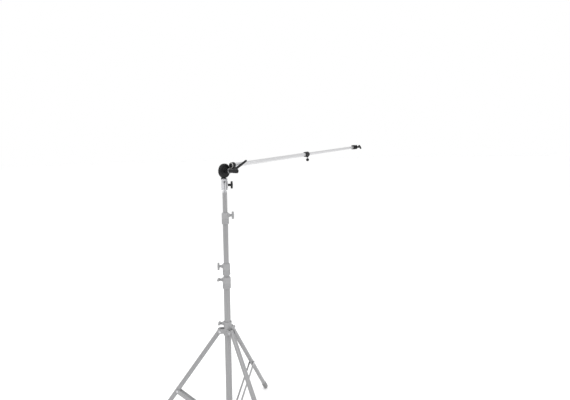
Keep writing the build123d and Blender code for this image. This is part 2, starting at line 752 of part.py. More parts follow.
clip_channel_front = arm_front + clip_channel / 2
clip_face = Plane(
    origin=axle + arm_along * clip_screw_at + arm_up * arm_height,
    x_dir=arm_up,
    z_dir=(0, -1, 0),
)
with BuildPart() as rim_clip:
    with BuildSketch(arm_plane(clip_start)):
        RectangleRounded(clip_h, clip_w, clip_round)
    extrude(amount=clip_end - clip_start)
    with BuildSketch(arm_plane(clip_start)):
        Circle(arm_inner_d / 2)
    extrude(amount=clip_seat, mode=Mode.SUBTRACT)
    with BuildSketch(arm_plane(arm_inner_end + clip_web)):
        Rectangle(clip_h + 2 * spare, clip_channel)
    extrude(amount=clip_jaw, mode=Mode.SUBTRACT)
    with BuildSketch(clip_face.offset(clip_channel_front)):
        Circle(clip_screw_d / 2 + running_gap)
    extrude(amount=clip_w, mode=Mode.SUBTRACT)
write(rim_clip, "rim_clip")

pad_front = clip_channel_front - slide_gap
write(bar(clip_face.offset(pad_front - clip_pad_t), clip_pad_r, clip_pad_t), "rim_clip_pad")

clip_seat_front = arm_front + clip_w / 2 + seat_gap
write(
    t_knob(clip_face, pad_front + running_gap, clip_seat_front, clip_screw_d, clip_stem, clip_bar_turn),
    "rim_clip_screw",
)

# ---------------------------------------------------------------- fold figures
folded_spread = 6.0
folded_joint_r = hub_pivot_r + brace_share * sin(radians(folded_spread))
folded_lean = degrees(acos(sqrt(brace_length ** 2 - (folded_joint_r - spider_pivot_r) ** 2) / brace_length))
brace_lean = degrees(acos((joint_z - spider_pivot_z) / brace_length))
folded_joint_z = spider_pivot_z + brace_length * cos(radians(folded_lean))
hub_travel = folded_joint_z + brace_share * cos(radians(folded_spread)) - hub_pivot_z
print("hub travel", round(hub_travel, 2), "leg swing", leg_spread - folded_spread)
print("brace swing", round(brace_lean - folded_lean, 2), "arm front", arm_front)
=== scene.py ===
# %% [markdown]
# # A cross-braced light stand with a grip head and a telescopic arm
# The stand is a column of four telescoping tubes on three folding legs. A grip head on top
# holds an arm that ends in a small clip. The measured frame of the real object is loaded
# first, and every piece below is placed from that frame, so nothing is moved by eye.

import json
from math import atan2, cos, pi, radians, sin, tan

import bmesh
import bpy
from mathutils import Matrix, Vector

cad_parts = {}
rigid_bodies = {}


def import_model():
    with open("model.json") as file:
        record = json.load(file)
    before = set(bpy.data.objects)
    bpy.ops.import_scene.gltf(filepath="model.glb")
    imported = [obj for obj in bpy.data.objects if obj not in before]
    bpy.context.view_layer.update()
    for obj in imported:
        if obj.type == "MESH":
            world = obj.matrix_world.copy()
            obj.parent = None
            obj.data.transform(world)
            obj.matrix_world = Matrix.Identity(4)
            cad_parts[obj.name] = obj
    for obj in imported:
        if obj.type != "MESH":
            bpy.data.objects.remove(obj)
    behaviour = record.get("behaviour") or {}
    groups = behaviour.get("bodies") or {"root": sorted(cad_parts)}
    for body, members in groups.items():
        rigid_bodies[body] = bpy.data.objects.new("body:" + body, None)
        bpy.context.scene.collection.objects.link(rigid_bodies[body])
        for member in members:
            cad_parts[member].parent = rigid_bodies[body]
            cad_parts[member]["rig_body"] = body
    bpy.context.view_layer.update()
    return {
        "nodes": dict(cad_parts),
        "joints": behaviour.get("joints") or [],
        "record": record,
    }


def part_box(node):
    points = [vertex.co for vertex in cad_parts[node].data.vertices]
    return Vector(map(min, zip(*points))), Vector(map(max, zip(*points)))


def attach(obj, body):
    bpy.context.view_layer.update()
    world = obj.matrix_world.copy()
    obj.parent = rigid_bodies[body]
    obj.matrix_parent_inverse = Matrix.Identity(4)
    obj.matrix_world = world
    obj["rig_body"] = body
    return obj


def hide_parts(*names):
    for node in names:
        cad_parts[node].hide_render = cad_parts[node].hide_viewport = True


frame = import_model()
nodes = frame["nodes"]
joints = {joint["name"]: joint for joint in frame["joints"]}
body_of_node = {name: made["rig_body"] for name, made in nodes.items()}

# %% [markdown]
# ## Reading sizes off the frame
# A workshop drawing gives sizes in millimetres from a known point. The helpers here do the
# same: one reads how far a measured piece reaches along a direction, one reads a hinge, and
# one stands a drawing up at a point. The last one also turns millimetres into metres, so
# that every drawing below can use plain millimetre numbers.

# %% Measuring helpers
MM = 0.001
UP = Vector((0, 0, 1))
RIGHT = Vector((1, 0, 0))
ON_COLUMN = Matrix.Scale(MM, 4)


def span(node, direction, origin=Vector()):
    """Lowest and highest reach of a measured piece along a direction from a point."""
    reaches = [(corner.co - origin).dot(direction) / MM for corner in nodes[node].data.vertices]
    return min(reaches), max(reaches)


def half_width(node, direction):
    """Half of what a measured piece takes up along a direction."""
    low, high = span(node, direction)
    return (high - low) / 2


def levels(node):
    """Heights of the bottom and the top of a measured piece."""
    return [corner.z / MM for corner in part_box(node)]


def hinge(joint):
    """Point and unit axis of a hinge or slide."""
    facts = joints[joint]
    return Vector(facts.get("pos_m", (0, 0, 0))), Vector(facts["axis"]).normalized()


def seat(origin, along, across):
    """Matrix that stands a millimetre drawing at a point, its Z along and its X across."""
    z_axis = along.normalized()
    y_axis = z_axis.cross(across).normalized()
    x_axis = y_axis.cross(z_axis)
    turn = Matrix((x_axis, y_axis, z_axis)).transposed().to_4x4()
    return Matrix.Translation(origin) @ turn @ Matrix.Scale(MM, 4)


def shifted(matrix, x=0.0, y=0.0, z=0.0):
    """The same place moved along its own axes."""
    return matrix @ Matrix.Translation((x, y, z))


print("the head tilts at", [round(part / MM) for part in hinge("head_tilt")[0]])

# %% [markdown]
# ## Drawing shapes
# Most pieces of a stand are turned on a lathe or cut from plate, so two helpers draw nearly
# everything. Both start from an outline whose corners are given a radius, because a real
# edge is never perfectly sharp and it is the small round that catches the light.

# %% Outlines with rounded corners
def filleted(corners, steps=4):
    """Closed outline from (x, y, radius) corners, each radius drawn as an arc."""
    outline = []
    for i, (x, y, radius) in enumerate(corners):
        here = Vector((x, y))
        if radius <= 0:
            outline.append(here)
            continue
        back = Vector(corners[i - 1][:2]) - here
        ahead = Vector(corners[(i + 1) % len(corners)][:2]) - here
        half = back.angle(ahead) / 2
        reach = min(radius / tan(half), 0.48 * back.length, 0.48 * ahead.length)
        centre = here + (back.normalized() + ahead.normalized()).normalized() * (reach / cos(half))
        first = here + back.normalized() * reach - centre
        last = here + ahead.normalized() * reach - centre
        swing = first.angle(last)
        for k in range(steps + 1):
            share = k / steps
            between = first * sin((1 - share) * swing) + last * sin(share * swing)
            outline.append(centre + between / sin(swing))
    return outline


def arc(x, y, radius, start, end, steps=16):
    """Corner list along an arc, angles in degrees."""
    angles = [radians(start + (end - start) * k / steps) for k in range(steps + 1)]
    return [(x + radius * cos(a), y + radius * sin(a), 0) for a in angles]


print(len(filleted([(0, 0, 1), (10, 0, 1), (10, 10, 1)])), "points round a small triangle")

# %% Turned shapes and plates
def turned(corners, matrix=ON_COLUMN, sides=64):
    """A closed outline of (radius, height, corner) spun round Z."""
    shape = bmesh.new()
    rings = []
    for point in filleted(corners):
        if point.x < 1e-6:
            rings.append([shape.verts.new((0, 0, point.y))])
            continue
        angles = [2 * pi * k / sides for k in range(sides)]
        rings.append([shape.verts.new((point.x * cos(a), point.x * sin(a), point.y)) for a in angles])
    for ring, following in zip(rings, rings[1:] + rings[:1]):
        if len(ring) == 1 and len(following) == 1:
            continue
        for k in range(sides):
            loop = [ring[k % len(ring)], ring[(k + 1) % len(ring)]]
            loop += [following[(k + 1) % len(following)], following[k % len(following)]]
            shape.faces.new(list(dict.fromkeys(loop)))
    bmesh.ops.recalc_face_normals(shape, faces=shape.faces)
    shape.transform(matrix)
    return shape


def inset(corners, depth):
    """The corners of a closed outline moved inwards, with their radii to match."""
    here = [Vector(corner[:2]) for corner in corners]
    following = here[1:] + here[:1]
    side = 1 if sum(a.cross(b) for a, b in zip(here, following)) > 0 else -1
    moved = []
    for i, (x, y, radius) in enumerate(corners):
        back = (here[i] - here[i - 1]).normalized()
        ahead = (following[i] - here[i]).normalized()
        inward = Vector((-back.y - ahead.y, back.x + ahead.x)) * side
        spot = here[i] + inward * depth / (1 + back.dot(ahead))
        outward_corner = back.cross(ahead) * side > 0
        if radius > 0:
            radius = max(radius - depth, 0.05) if outward_corner else radius + depth
        moved.append((spot.x, spot.y, radius))
    return moved


def plate(corners, thickness, edge, matrix, steps=4, rounds=3):
    """A flat outline given a thickness, centred on Z, with rounded rims."""
    shape = bmesh.new()
    levels = []
    for k in range(rounds + 1 if edge else 1):
        turn = pi / 2 * k / rounds
        levels.append((thickness / 2 - edge * (1 - sin(turn)), edge * (1 - cos(turn))))
    rings = []
    for height, depth in [(-height, depth) for height, depth in reversed(levels)] + levels:
        rings.append([shape.verts.new((*point, height)) for point in filleted(inset(corners, depth), steps)])
    for ring, following in zip(rings, rings[1:]):
        for k in range(len(ring)):
            shape.faces.new((ring[k - 1], ring[k], following[k], following[k - 1]))
    shape.faces.new(rings[0])
    shape.faces.new(rings[-1])
    bmesh.ops.recalc_face_normals(shape, faces=shape.faces)
    shape.transform(matrix)
    return shape


def lofted(sections, matrix, sides=32):
    """A closed skin through ellipses of (height, x, y, half width, half depth)."""
    shape = bmesh.new()
    rings = []
    for height, x, y, wide, deep in sections:
        angles = [2 * pi * k / sides for k in range(sides)]
        rings.append([shape.verts.new((x + wide * cos(a), y + deep * sin(a), height)) for a in angles])
    for ring, following in zip(rings, rings[1:]):
        for k in range(sides):
            shape.faces.new((ring[k - 1], ring[k], following[k], following[k - 1]))
    shape.faces.new(rings[0])
    shape.faces.new(rings[-1])
    bmesh.ops.recalc_face_normals(shape, faces=shape.faces)
    shape.transform(matrix)
    return shape


print("a turned shape, a plate and a lofted skin can be drawn")

# %% [markdown]
# ## Geometry Nodes for what repeats
# Rivets, ribs, teeth and screw threads are one small shape set out many times, and the
# telescoping tubes are one section swept round a circle. A node tree states that rule once
# and takes the sizes as inputs, so a new tube or a new ring of rivets is one line. The
# result is turned into a plain mesh straight away, because only real faces are kept.

# %% Node helpers
def add_node(tree, kind, inputs=None, **settings):
    """One node with its settings, its inputs either linked or typed in."""
    made = tree.nodes.new(kind)
    for key, value in settings.items():
        setattr(made, key, value)
    for key, value in (inputs or {}).items():
        if isinstance(value, bpy.types.NodeSocket):
            tree.links.new(value, made.inputs[key])
        else:
            made.inputs[key].default_value = value
    return made


def new_tree(name, inputs):
    """A geometry tree with named inputs; returns the tree and its input sockets."""
    tree = bpy.data.node_groups.new(name, "GeometryNodeTree")
    tree.interface.new_socket("Geometry", in_out="OUTPUT", socket_type="NodeSocketGeometry")
    for title, kind in inputs:
        tree.interface.new_socket(title, in_out="INPUT", socket_type=f"NodeSocket{kind}")
    return tree, tree.nodes.new("NodeGroupInput").outputs


def end_tree(tree, geometry, material):
    """Every tree ends in real geometry with its material set."""
    real = add_node(tree, "GeometryNodeRealizeInstances", {0: geometry})
    dressed = add_node(tree, "GeometryNodeSetMaterial", {0: real.outputs[0], "Material": material})
    add_node(tree, "NodeGroupOutput", {0: dressed.outputs[0]})
    print("tree", tree.name, "has", len(tree.nodes), "nodes")


def grown(tree, matrix, **values):
    """Runs a tree with its inputs typed in and returns the plain result as a bmesh."""
    holder = bpy.data.objects.new("growing", bpy.data.meshes.new("growing"))
    bpy.context.scene.collection.objects.link(holder)
    modifier = holder.modifiers.new("grow", "NODES")
    modifier.node_group = tree
    for item in tree.interface.items_tree:
        if item.in_out == "INPUT":
            modifier[item.identifier] = values[item.name.replace(" ", "_").lower()]
    bpy.context.view_layer.update()
    evaluated = holder.evaluated_get(bpy.context.evaluated_depsgraph_get())
    mesh = bpy.data.meshes.new_from_object(evaluated)
    holder.modifiers.remove(modifier)
    bpy.data.objects.remove(holder)
    shape = bmesh.new()
    shape.from_mesh(mesh)
    bpy.data.meshes.remove(mesh)
    bmesh.ops.remove_doubles(shape, verts=shape.verts, dist=1e-4)
    bmesh.ops.recalc_face_normals(shape, faces=shape.faces)
    shape.transform(matrix)
    return shape


def math_node(tree, operation, first, second=0.0):
    """The output of a sum whose parts are sockets or numbers."""
    made = add_node(tree, "ShaderNodeMath", operation=operation)
    for socket, value in zip(made.inputs, (first, second)):
        if isinstance(value, bpy.types.NodeSocket):
            tree.links.new(value, socket)
        else:
            socket.default_value = value
    return made.outputs[0]


print("node helpers ready")

# %% A drawn tube: one rounded wall section swept round a circle
tube_tree, given = new_tree(
    "Drawn tube",
    [("Outside", "Float"), ("Wall", "Float"), ("Length", "Float"), ("Lip", "Float"),
     ("Material", "Material")],
)
middle = math_node(tube_tree, "SUBTRACT", given["Outside"],
                   math_node(tube_tree, "MULTIPLY", given["Wall"], 0.5))
path = add_node(tube_tree, "GeometryNodeCurvePrimitiveCircle", {"Resolution": 64, "Radius": middle})
section = add_node(tube_tree, "GeometryNodeCurvePrimitiveQuadrilateral",
                   {"Width": given["Wall"], "Height": given["Length"]})
softened = add_node(tube_tree, "GeometryNodeFilletCurve",
                    {"Curve": section.outputs[0], "Radius": given["Lip"]})
softened.mode = "POLY"
fillet = {"Count": 3, "Limit Radius": True}
for socket in softened.inputs:
    if socket.name in fillet:
        socket.default_value = fillet[socket.name]
swept = add_node(tube_tree, "GeometryNodeCurveToMesh",
                 {"Curve": path.outputs[0], "Profile Curve": softened.outputs[0]})
raised = add_node(tube_tree, "GeometryNodeTransform", {"Geometry": swept.outputs[0]})
lift = add_node(tube_tree, "ShaderNodeCombineXYZ",
                {"Z": math_node(tube_tree, "MULTIPLY", given["Length"], 0.5)})
tube_tree.links.new(lift.outputs[0], raised.inputs["Translation"])
end_tree(tube_tree, raised.outputs[0], given["Material"])

# %% A ring: one drawn part set out round an axis
ring_tree, given = new_tree(
    "Ring of parts",
    [("Part", "Object"), ("Count", "Int"), ("Radius", "Float"), ("First", "Float"), ("Material", "Material")],
)
spots = add_node(ring_tree, "GeometryNodePoints", {"Count": given["Count"]})
turn_each = math_node(ring_tree, "DIVIDE", 2 * pi, given["Count"])
number = add_node(ring_tree, "GeometryNodeInputIndex")
angle = math_node(ring_tree, "ADD", math_node(ring_tree, "MULTIPLY", number.outputs[0], turn_each),
                  given["First"])
spot = add_node(ring_tree, "ShaderNodeCombineXYZ", {
    "X": math_node(ring_tree, "MULTIPLY", math_node(ring_tree, "COSINE", angle), given["Radius"]),
    "Y": math_node(ring_tree, "MULTIPLY", math_node(ring_tree, "SINE", angle), given["Radius"]),
})
set_out = add_node(ring_tree, "GeometryNodeSetPosition",
                   {"Geometry": spots.outputs[0], "Position": spot.outputs[0]})
heading = add_node(ring_tree, "ShaderNodeCombineXYZ", {"Z": angle})
part_in = add_node(ring_tree, "GeometryNodeObjectInfo", {"Object": given["Part"]})
copies = add_node(ring_tree, "GeometryNodeInstanceOnPoints",
                  {"Points": set_out.outputs[0], "Instance": part_in.outputs["Geometry"],
                   "Rotation": heading.outputs[0]})
end_tree(ring_tree, copies.outputs[0], given["Material"])

# %% A screw thread: a small pointed section following a helix
thread_tree, given = new_tree(
    "Screw thread",
    [("Radius", "Float"), ("Pitch", "Float"), ("Turns", "Float"), ("Depth", "Float"),
     ("Material", "Material")],
)
winding = add_node(thread_tree, "GeometryNodeCurveSpiral", {
    "Resolution": 24, "Rotations": given["Turns"],
    "Start Radius": given["Radius"], "End Radius": given["Radius"],
    "Height": math_node(thread_tree, "MULTIPLY", given["Pitch"], given["Turns"]),
})
ridge = add_node(thread_tree, "GeometryNodeCurvePrimitiveCircle",
                 {"Resolution": 4, "Radius": given["Depth"]})
wound = add_node(thread_tree, "GeometryNodeCurveToMesh",
                 {"Curve": winding.outputs[0], "Profile Curve": ridge.outputs[0], "Fill Caps": True})
end_tree(thread_tree, wound.outputs[0], given["Material"])

# %% [markdown]
# ## Finishes
# A new stand shows few colours but many surfaces: coated drawn tube, coated castings,
# moulded plastic, rubber, zinc plate, chrome and bright anodised tube. Grain, drawing
# lines and worn edges turn up in several of them, so each is a node group made once and
# given its own strength in every finish.

# %% Shared surface effects
def effect_group(name, inputs, outputs):
    group = bpy.data.node_groups.new(name, "ShaderNodeTree")
    for title, value in inputs:
        socket = group.interface.new_socket(title, in_out="INPUT", socket_type="NodeSocketFloat")
        socket.default_value = value
    for title in outputs:
        group.interface.new_socket(title, in_out="OUTPUT", socket_type="NodeSocketFloat")
    return group, group.nodes.new("NodeGroupInput").outputs, group.nodes.new("NodeGroupOutput").inputs


grain_group, given, ends = effect_group("Fine grain", [("Scale", 900.0), ("Cloud Scale", 30.0)],
                                        ["Height", "Cloud"])
where = add_node(grain_group, "ShaderNodeTexCoord")
fine = add_node(grain_group, "ShaderNodeTexNoise", {"Vector": where.outputs["Object"],
                                                    "Scale": given["Scale"], "Detail": 3.0})
cloud = add_node(grain_group, "ShaderNodeTexNoise", {"Vector": where.outputs["Object"],
                                                     "Scale": given["Cloud Scale"], "Detail": 4.0})
grain_group.links.new(fine.outputs["Fac"], ends["Height"])
grain_group.links.new(cloud.outputs["Fac"], ends["Cloud"])

wear_group, given, ends = effect_group("Worn edges", [("Width", 0.0008), ("Patches", 180.0)], ["Mask"])
rounded_edge = add_node(wear_group, "ShaderNodeBevel", {"Radius": given["Width"]}, samples=4)
facing = add_node(wear_group, "ShaderNodeNewGeometry")
likeness = add_node(wear_group, "ShaderNodeVectorMath", operation="DOT_PRODUCT")
wear_group.links.new(rounded_edge.outputs[0], likeness.inputs[0])
wear_group.links.new(facing.outputs["Normal"], likeness.inputs[1])
edge = add_node(wear_group, "ShaderNodeMapRange", {"Value": likeness.outputs["Value"],
                                                   "From Min": 0.985, "From Max": 0.86})
where = add_node(wear_group, "ShaderNodeTexCoord")
patches = add_node(wear_group, "ShaderNodeTexNoise", {"Vector": where.outputs["Object"],
                                                      "Scale": given["Patches"], "Detail": 4.0})
patchy = add_node(wear_group, "ShaderNodeMapRange", {"Value": patches.outputs["Fac"],
                                                     "From Min": 0.45, "From Max": 0.62})
wear_group.links.new(math_node(wear_group, "MULTIPLY", edge.outputs[0], patchy.outputs[0]),
                     ends["Mask"])
print("effects:", grain_group.name, "and", wear_group.name)

# %% Lines left by drawing a tube through its die
line_group, given, ends = effect_group("Drawn lines", [("Scale", 400.0), ("Stretch", 0.02)],
                                       ["Lines", "Scuffs"])
line_group.interface.new_socket("Along", in_out="INPUT", socket_type="NodeSocketVector")
stretch = add_node(line_group, "ShaderNodeCombineXYZ", {"X": 1.0, "Y": 1.0, "Z": given["Stretch"]})
longways = add_node(line_group, "ShaderNodeVectorMath", operation="MULTIPLY")
line_group.links.new(given["Along"], longways.inputs[0])
line_group.links.new(stretch.outputs[0], longways.inputs[1])
lines = add_node(line_group, "ShaderNodeTexNoise", {"Vector": longways.outputs[0],
                                                    "Scale": given["Scale"], "Detail": 5.0})
broad = add_node(line_group, "ShaderNodeTexNoise",
                 {"Vector": longways.outputs[0], "Scale": 60.0, "Detail": 3.0})
scuffs = add_node(line_group, "ShaderNodeMapRange", {"Value": broad.outputs["Fac"],
                                                     "From Min": 0.58, "From Max": 0.72})
line_group.links.new(lines.outputs["Fac"], ends["Lines"])
line_group.links.new(scuffs.outputs[0], ends["Scuffs"])
print("effect:", line_group.name)

# %% [markdown]
# ## One recipe, many finishes
# Each finish starts from the same few steps: a base colour that drifts a little, a grain
# that breaks up the gloss, and a shallow bump. Values that are the same all over the piece
# are typed straight into the shader, and only what changes over the surface is linked.

# %% The recipe for coated, moulded and cast surfaces
def new_material(name, **values):
    """A material with constants on its shader; returns it with its tree and shader."""
    material = bpy.data.materials.new(name)
    material.use_nodes = True
    shader = material.node_tree.nodes["Principled BSDF"]
    for title, value in values.items():
        shader.inputs[title.replace("_", " ")].default_value = value
    return material, material.node_tree, shader


def opaque(colour, share=1.0):
    """A colour made darker or lighter, with its alpha."""
    return (*[min(1.0, part * share) for part in colour], 1)


def blend(tree, factor, first, second):
    """Mixes two colours, each a socket or a constant."""
    mixed = add_node(tree, "ShaderNodeMix", {"Factor": factor, 6: first, 7: second}, data_type="RGBA")
    return mixed.outputs[2]


def finish(name, colour, rough, drift=0.06, grain=900.0, bump=0.15, wear=0.0, wear_colour=None,
           wear_rough=0.35, metallic=0.0, specular=0.5, wear_metal=1.0):
    """A procedural finish: colour drift, grain, bump and, if asked, worn edges."""
    material, tree, shader = new_material(name, Metallic=metallic, Specular_IOR_Level=specular)
    texture = add_node(tree, "ShaderNodeGroup", node_tree=grain_group)
    texture.inputs["Scale"].default_value = grain
    cloud = texture.outputs["Cloud"]
    colour_out = blend(tree, cloud, opaque(colour, 1 - drift), opaque(colour, 1 + drift))
    gloss = {"Value": cloud, "To Min": rough - 0.06, "To Max": rough + 0.06}
    rough_out = add_node(tree, "ShaderNodeMapRange", gloss).outputs[0]
    if wear:
        worn = add_node(tree, "ShaderNodeGroup", node_tree=wear_group)
        amount = math_node(tree, "MULTIPLY", worn.outputs["Mask"], wear)
        colour_out = blend(tree, amount, colour_out, opaque(wear_colour))
        rough_out = add_node(tree, "ShaderNodeMix", {"Factor": amount, 2: rough_out, 3: wear_rough},
                             data_type="FLOAT").outputs[0]
        if wear_metal > metallic:
            tree.links.new(amount, shader.inputs["Metallic"])
    tree.links.new(colour_out, shader.inputs["Base Color"])
    tree.links.new(rough_out, shader.inputs["Roughness"])
    relief = add_node(tree, "ShaderNodeBump", {"Height": texture.outputs["Height"],
                                               "Strength": bump, "Distance": 0.0002})
    tree.links.new(relief.outputs[0], shader.inputs["Normal"])
    return material


coated_casting = finish("coated_casting", (0.285, 0.285, 0.29), 0.42, drift=0.03, grain=1400, bump=0.3,
                        wear=0.5, wear_colour=(0.40, 0.40, 0.41), wear_rough=0.3, wear_metal=0.0)
moulded_grey = finish("moulded_grey", (0.25, 0.25, 0.255), 0.5, drift=0.04, grain=1800, bump=0.25)
grey_rubber = finish("grey_rubber", (0.24, 0.24, 0.24), 0.78, drift=0.08, grain=1200, bump=0.5,
                     wear=0.4, wear_colour=(0.33, 0.33, 0.325), wear_rough=0.85, wear_metal=0.0)
zinc_plate = finish("zinc_plate", (0.62, 0.62, 0.64), 0.3, drift=0.08, grain=700, bump=0.1, metallic=1.0)
natural_nylon = finish("natural_nylon", (0.42, 0.415, 0.40), 0.45, drift=0.04, grain=1000, bump=0.15)
pressed_fibre = finish("pressed_fibre", (0.16, 0.11, 0.075), 0.8, drift=0.35, grain=1600, bump=0.6)
black_coat = finish("black_coat", (0.010, 0.010, 0.011), 0.4, drift=0.2, grain=1600, bump=0.45, specular=0.22,
                    wear=0.45, wear_colour=(0.13, 0.13, 0.135), wear_rough=0.32, wear_metal=0.5)
black_moulding = finish("black_moulding", (0.009, 0.009, 0.010), 0.42, drift=0.2, grain=2200, bump=0.35,
                        specular=0.25, wear=0.35, wear_colour=(0.05, 0.05, 0.052), wear_rough=0.3,
                        wear_metal=0.0)
black_rubber = finish("black_rubber", (0.02, 0.02, 0.02), 0.8, drift=0.25, grain=1100, bump=0.55)
print("cast, moulded and rubber finishes made")

# %% The recipe for drawn tube and for plated pieces
def drawn_finish(name, colour, rough, metallic, line_bump, scuff_colour, direction):
    """A tube finish whose fine lines run along the tube, the way its die left them."""
    material, tree, shader = new_material(name, Metallic=metallic)
    where = add_node(tree, "ShaderNodeTexCoord")
    turn = UP.rotation_difference(direction).inverted().to_euler()
    aimed = add_node(tree, "ShaderNodeMapping", {"Vector": where.outputs["Object"], "Rotation": turn},
                     vector_type="POINT")
    marks = add_node(tree, "ShaderNodeGroup", {"Along": aimed.outputs[0]}, node_tree=line_group)
    lines = marks.outputs["Lines"]
    shade = blend(tree, lines, opaque(colour, 0.93), opaque(colour, 1.06))
    light_touch = math_node(tree, "MULTIPLY", marks.outputs["Scuffs"], 0.35)
    gloss = add_node(tree, "ShaderNodeMapRange", {"Value": lines, "To Min": rough - 0.08,
                                                  "To Max": rough + 0.08})
    tree.links.new(blend(tree, light_touch, shade, opaque(scuff_colour)), shader.inputs["Base Color"])
    tree.links.new(gloss.outputs[0], shader.inputs["Roughness"])
    relief = add_node(tree, "ShaderNodeBump", {"Height": lines, "Strength": line_bump, "Distance": 0.0001})
    tree.links.new(relief.outputs[0], shader.inputs["Normal"])
    return material


def coated_tube(name, direction):
    """Grey coated tube with its lines along a direction."""
    return drawn_finish(name, (0.285, 0.285, 0.29), 0.38, 0.25, 0.25, (0.33, 0.33, 0.335), direction)


ARM_ALONG = hinge("arm_slide")[1]
column_tube = coated_tube("column_tube", UP)
arm_silver = drawn_finish("arm_silver", (0.60, 0.60, 0.61), 0.3, 0.75, 0.2, (0.68, 0.68, 0.69), ARM_ALONG)
chrome_plate = drawn_finish("chrome_plate", (0.66, 0.66, 0.68), 0.12, 1.0, 0.05, (0.60, 0.60, 0.62),
                            RIGHT)
print("tube and plate finishes made")

# %% [markdown]
# ## The studio
# The stand is shown on a pale floor in soft light, as in a shop picture. The world is white
# to the camera, and its far side is dimmer in reflections, because bright metal needs
# something darker to reflect or it looks like paint.

# %% Camera, floor, world and lights
scene = bpy.context.scene
scene.view_settings.view_transform = "Standard"

CAMERA_PLACE = Vector((-1.3604, -1.4418, 1.2798))
CAMERA_AHEAD = Vector((0.7790, 0.6270, -0.0039)).normalized()
CAMERA_RIGHT = Vector((0.6269, -0.7788, -0.0218)).normalized()
camera_up = CAMERA_RIGHT.cross(CAMERA_AHEAD).normalized()
camera_right = CAMERA_AHEAD.cross(camera_up)
eye = bpy.data.objects.new("camera", bpy.data.cameras.new("camera"))
eye.data.sensor_width = 36.0
eye.data.lens = 27.68
eye.data.shift_x = 0.0017
eye.data.shift_y = -0.0928
eye.data.clip_start = 0.05
eye.matrix_world = Matrix.Translation(CAMERA_PLACE) @ Matrix(
    (camera_right, camera_up, -CAMERA_AHEAD)).transposed().to_4x4()
scene.collection.objects.link(eye)
scene.camera = eye



def shown(name, shape, material):
    """An object of the studio made from a drawn shape."""
    mesh = bpy.data.meshes.new(name)
    shape.to_mesh(mesh)
    shape.free()
    mesh.materials.append(material)
    made = bpy.data.objects.new(name, mesh)
    scene.collection.objects.link(made)
    return made


def flag(name, turn, distance, width, shade):
    """A dark upright panel that only reflections see, as a studio sets up for chrome."""
    cloth = new_material(name, Base_Color=opaque((shade, shade, shade)), Roughness=1.0,
                         Specular_IOR_Level=0.0)[0]
    level = Vector((-CAMERA_AHEAD.x, -CAMERA_AHEAD.y, 0)).normalized()
    towards = Matrix.Rotation(radians(turn), 3, "Z") @ level
    sheet = bmesh.new()
    bmesh.ops.create_grid(sheet, x_segments=1, y_segments=1, size=0.5)
    sheet.transform(Matrix.Translation(towards * distance + UP * FLAG_MIDDLE)
                    @ towards.to_track_quat("-Z", "Y").to_matrix().to_4x4()
                    @ Matrix.Diagonal((width, FLAG_HEIGHT, 1, 1)))
    panel = shown(name, sheet, cloth)
    panel.visible_camera = panel.visible_diffuse = panel.visible_shadow = False
    panel.visible_transmission = panel.visible_volume_scatter = False


FLOOR_RADIUS, FLOOR_LEVEL = 40, -0.0005
FLAG_MIDDLE, FLAG_HEIGHT = 0.9, 5.0
pale = new_material("pale_floor", Base_Color=opaque((0.93, 0.93, 0.93)), Roughness=0.9,
                    Specular_IOR_Level=0.1)[0]
ground = bmesh.new()
bmesh.ops.create_circle(ground, cap_ends=True, radius=FLOOR_RADIUS, segments=96)
floor = shown("floor", ground, pale)
floor.location.z = FLOOR_LEVEL
flag("front_flag", 3, 3.2, 0.75, 0.01)
flag("side_flag", 72, 3.2, 1.3, 0.16)

world = bpy.data.worlds.new("studio")
scene.world = world
world.use_nodes = True
sky = world.node_tree
backdrop = sky.nodes["Background"]
direction = add_node(sky, "ShaderNodeTexCoord")
behind = add_node(sky, "ShaderNodeVectorMath", operation="DOT_PRODUCT")
sky.links.new(direction.outputs["Generated"], behind.inputs[0])
behind.inputs[1].default_value = (-CAMERA_AHEAD.x, -CAMERA_AHEAD.y, 0.0)
dim = add_node(sky, "ShaderNodeMapRange", {"Value": behind.outputs["Value"], "From Min": 0.45,
                                           "From Max": 0.97, "To Min": 0.95, "To Max": 0.2})
rays = add_node(sky, "ShaderNodeLightPath")
seen = math_node(sky, "MAXIMUM", rays.outputs["Is Camera Ray"], dim.outputs[0])
even = math_node(sky, "MULTIPLY", rays.outputs["Is Diffuse Ray"], 1.12)
strength = math_node(sky, "MAXIMUM", seen, even)
sky.links.new(strength, backdrop.inputs["Strength"])
backdrop.inputs["Color"].default_value = (1, 1, 1, 1)


def soft_light(name, place, target, size, power):
    """A square lamp aimed at a point."""
    lamp = bpy.data.lights.new(name, "AREA")
    lamp.size = size
    lamp.energy = power
    holder = bpy.data.objects.new(name, lamp)
    holder.location = place
    holder.rotation_euler = (Vector(target) - Vector(place)).to_track_quat("-Z", "Y").to_euler()
    scene.collection.objects.link(holder)


soft_light("key", (-2.6, -1.0, 3.2), (0.3, 0, 0.8), 2.4, 45)
soft_light("fill", (1.2, -3.2, 2.2), (0.4, 0, 0.8), 2.0, 22)
soft_light("rim", (1.5, 2.8, 2.6), (0.3, 0, 0.9), 1.6, 25)
print("camera", [round(x, 3) for x in CAMERA_PLACE], "with", len(bpy.data.lights), "soft lights")

# %% [markdown]
# ## Dressing the measured pieces
# Every measured piece gets a finish by its material slot in the record. Pieces that stay as
# they are, such as guides and pads deep inside the tubes, keep it; the others are hidden
# below when a finer piece takes their place.

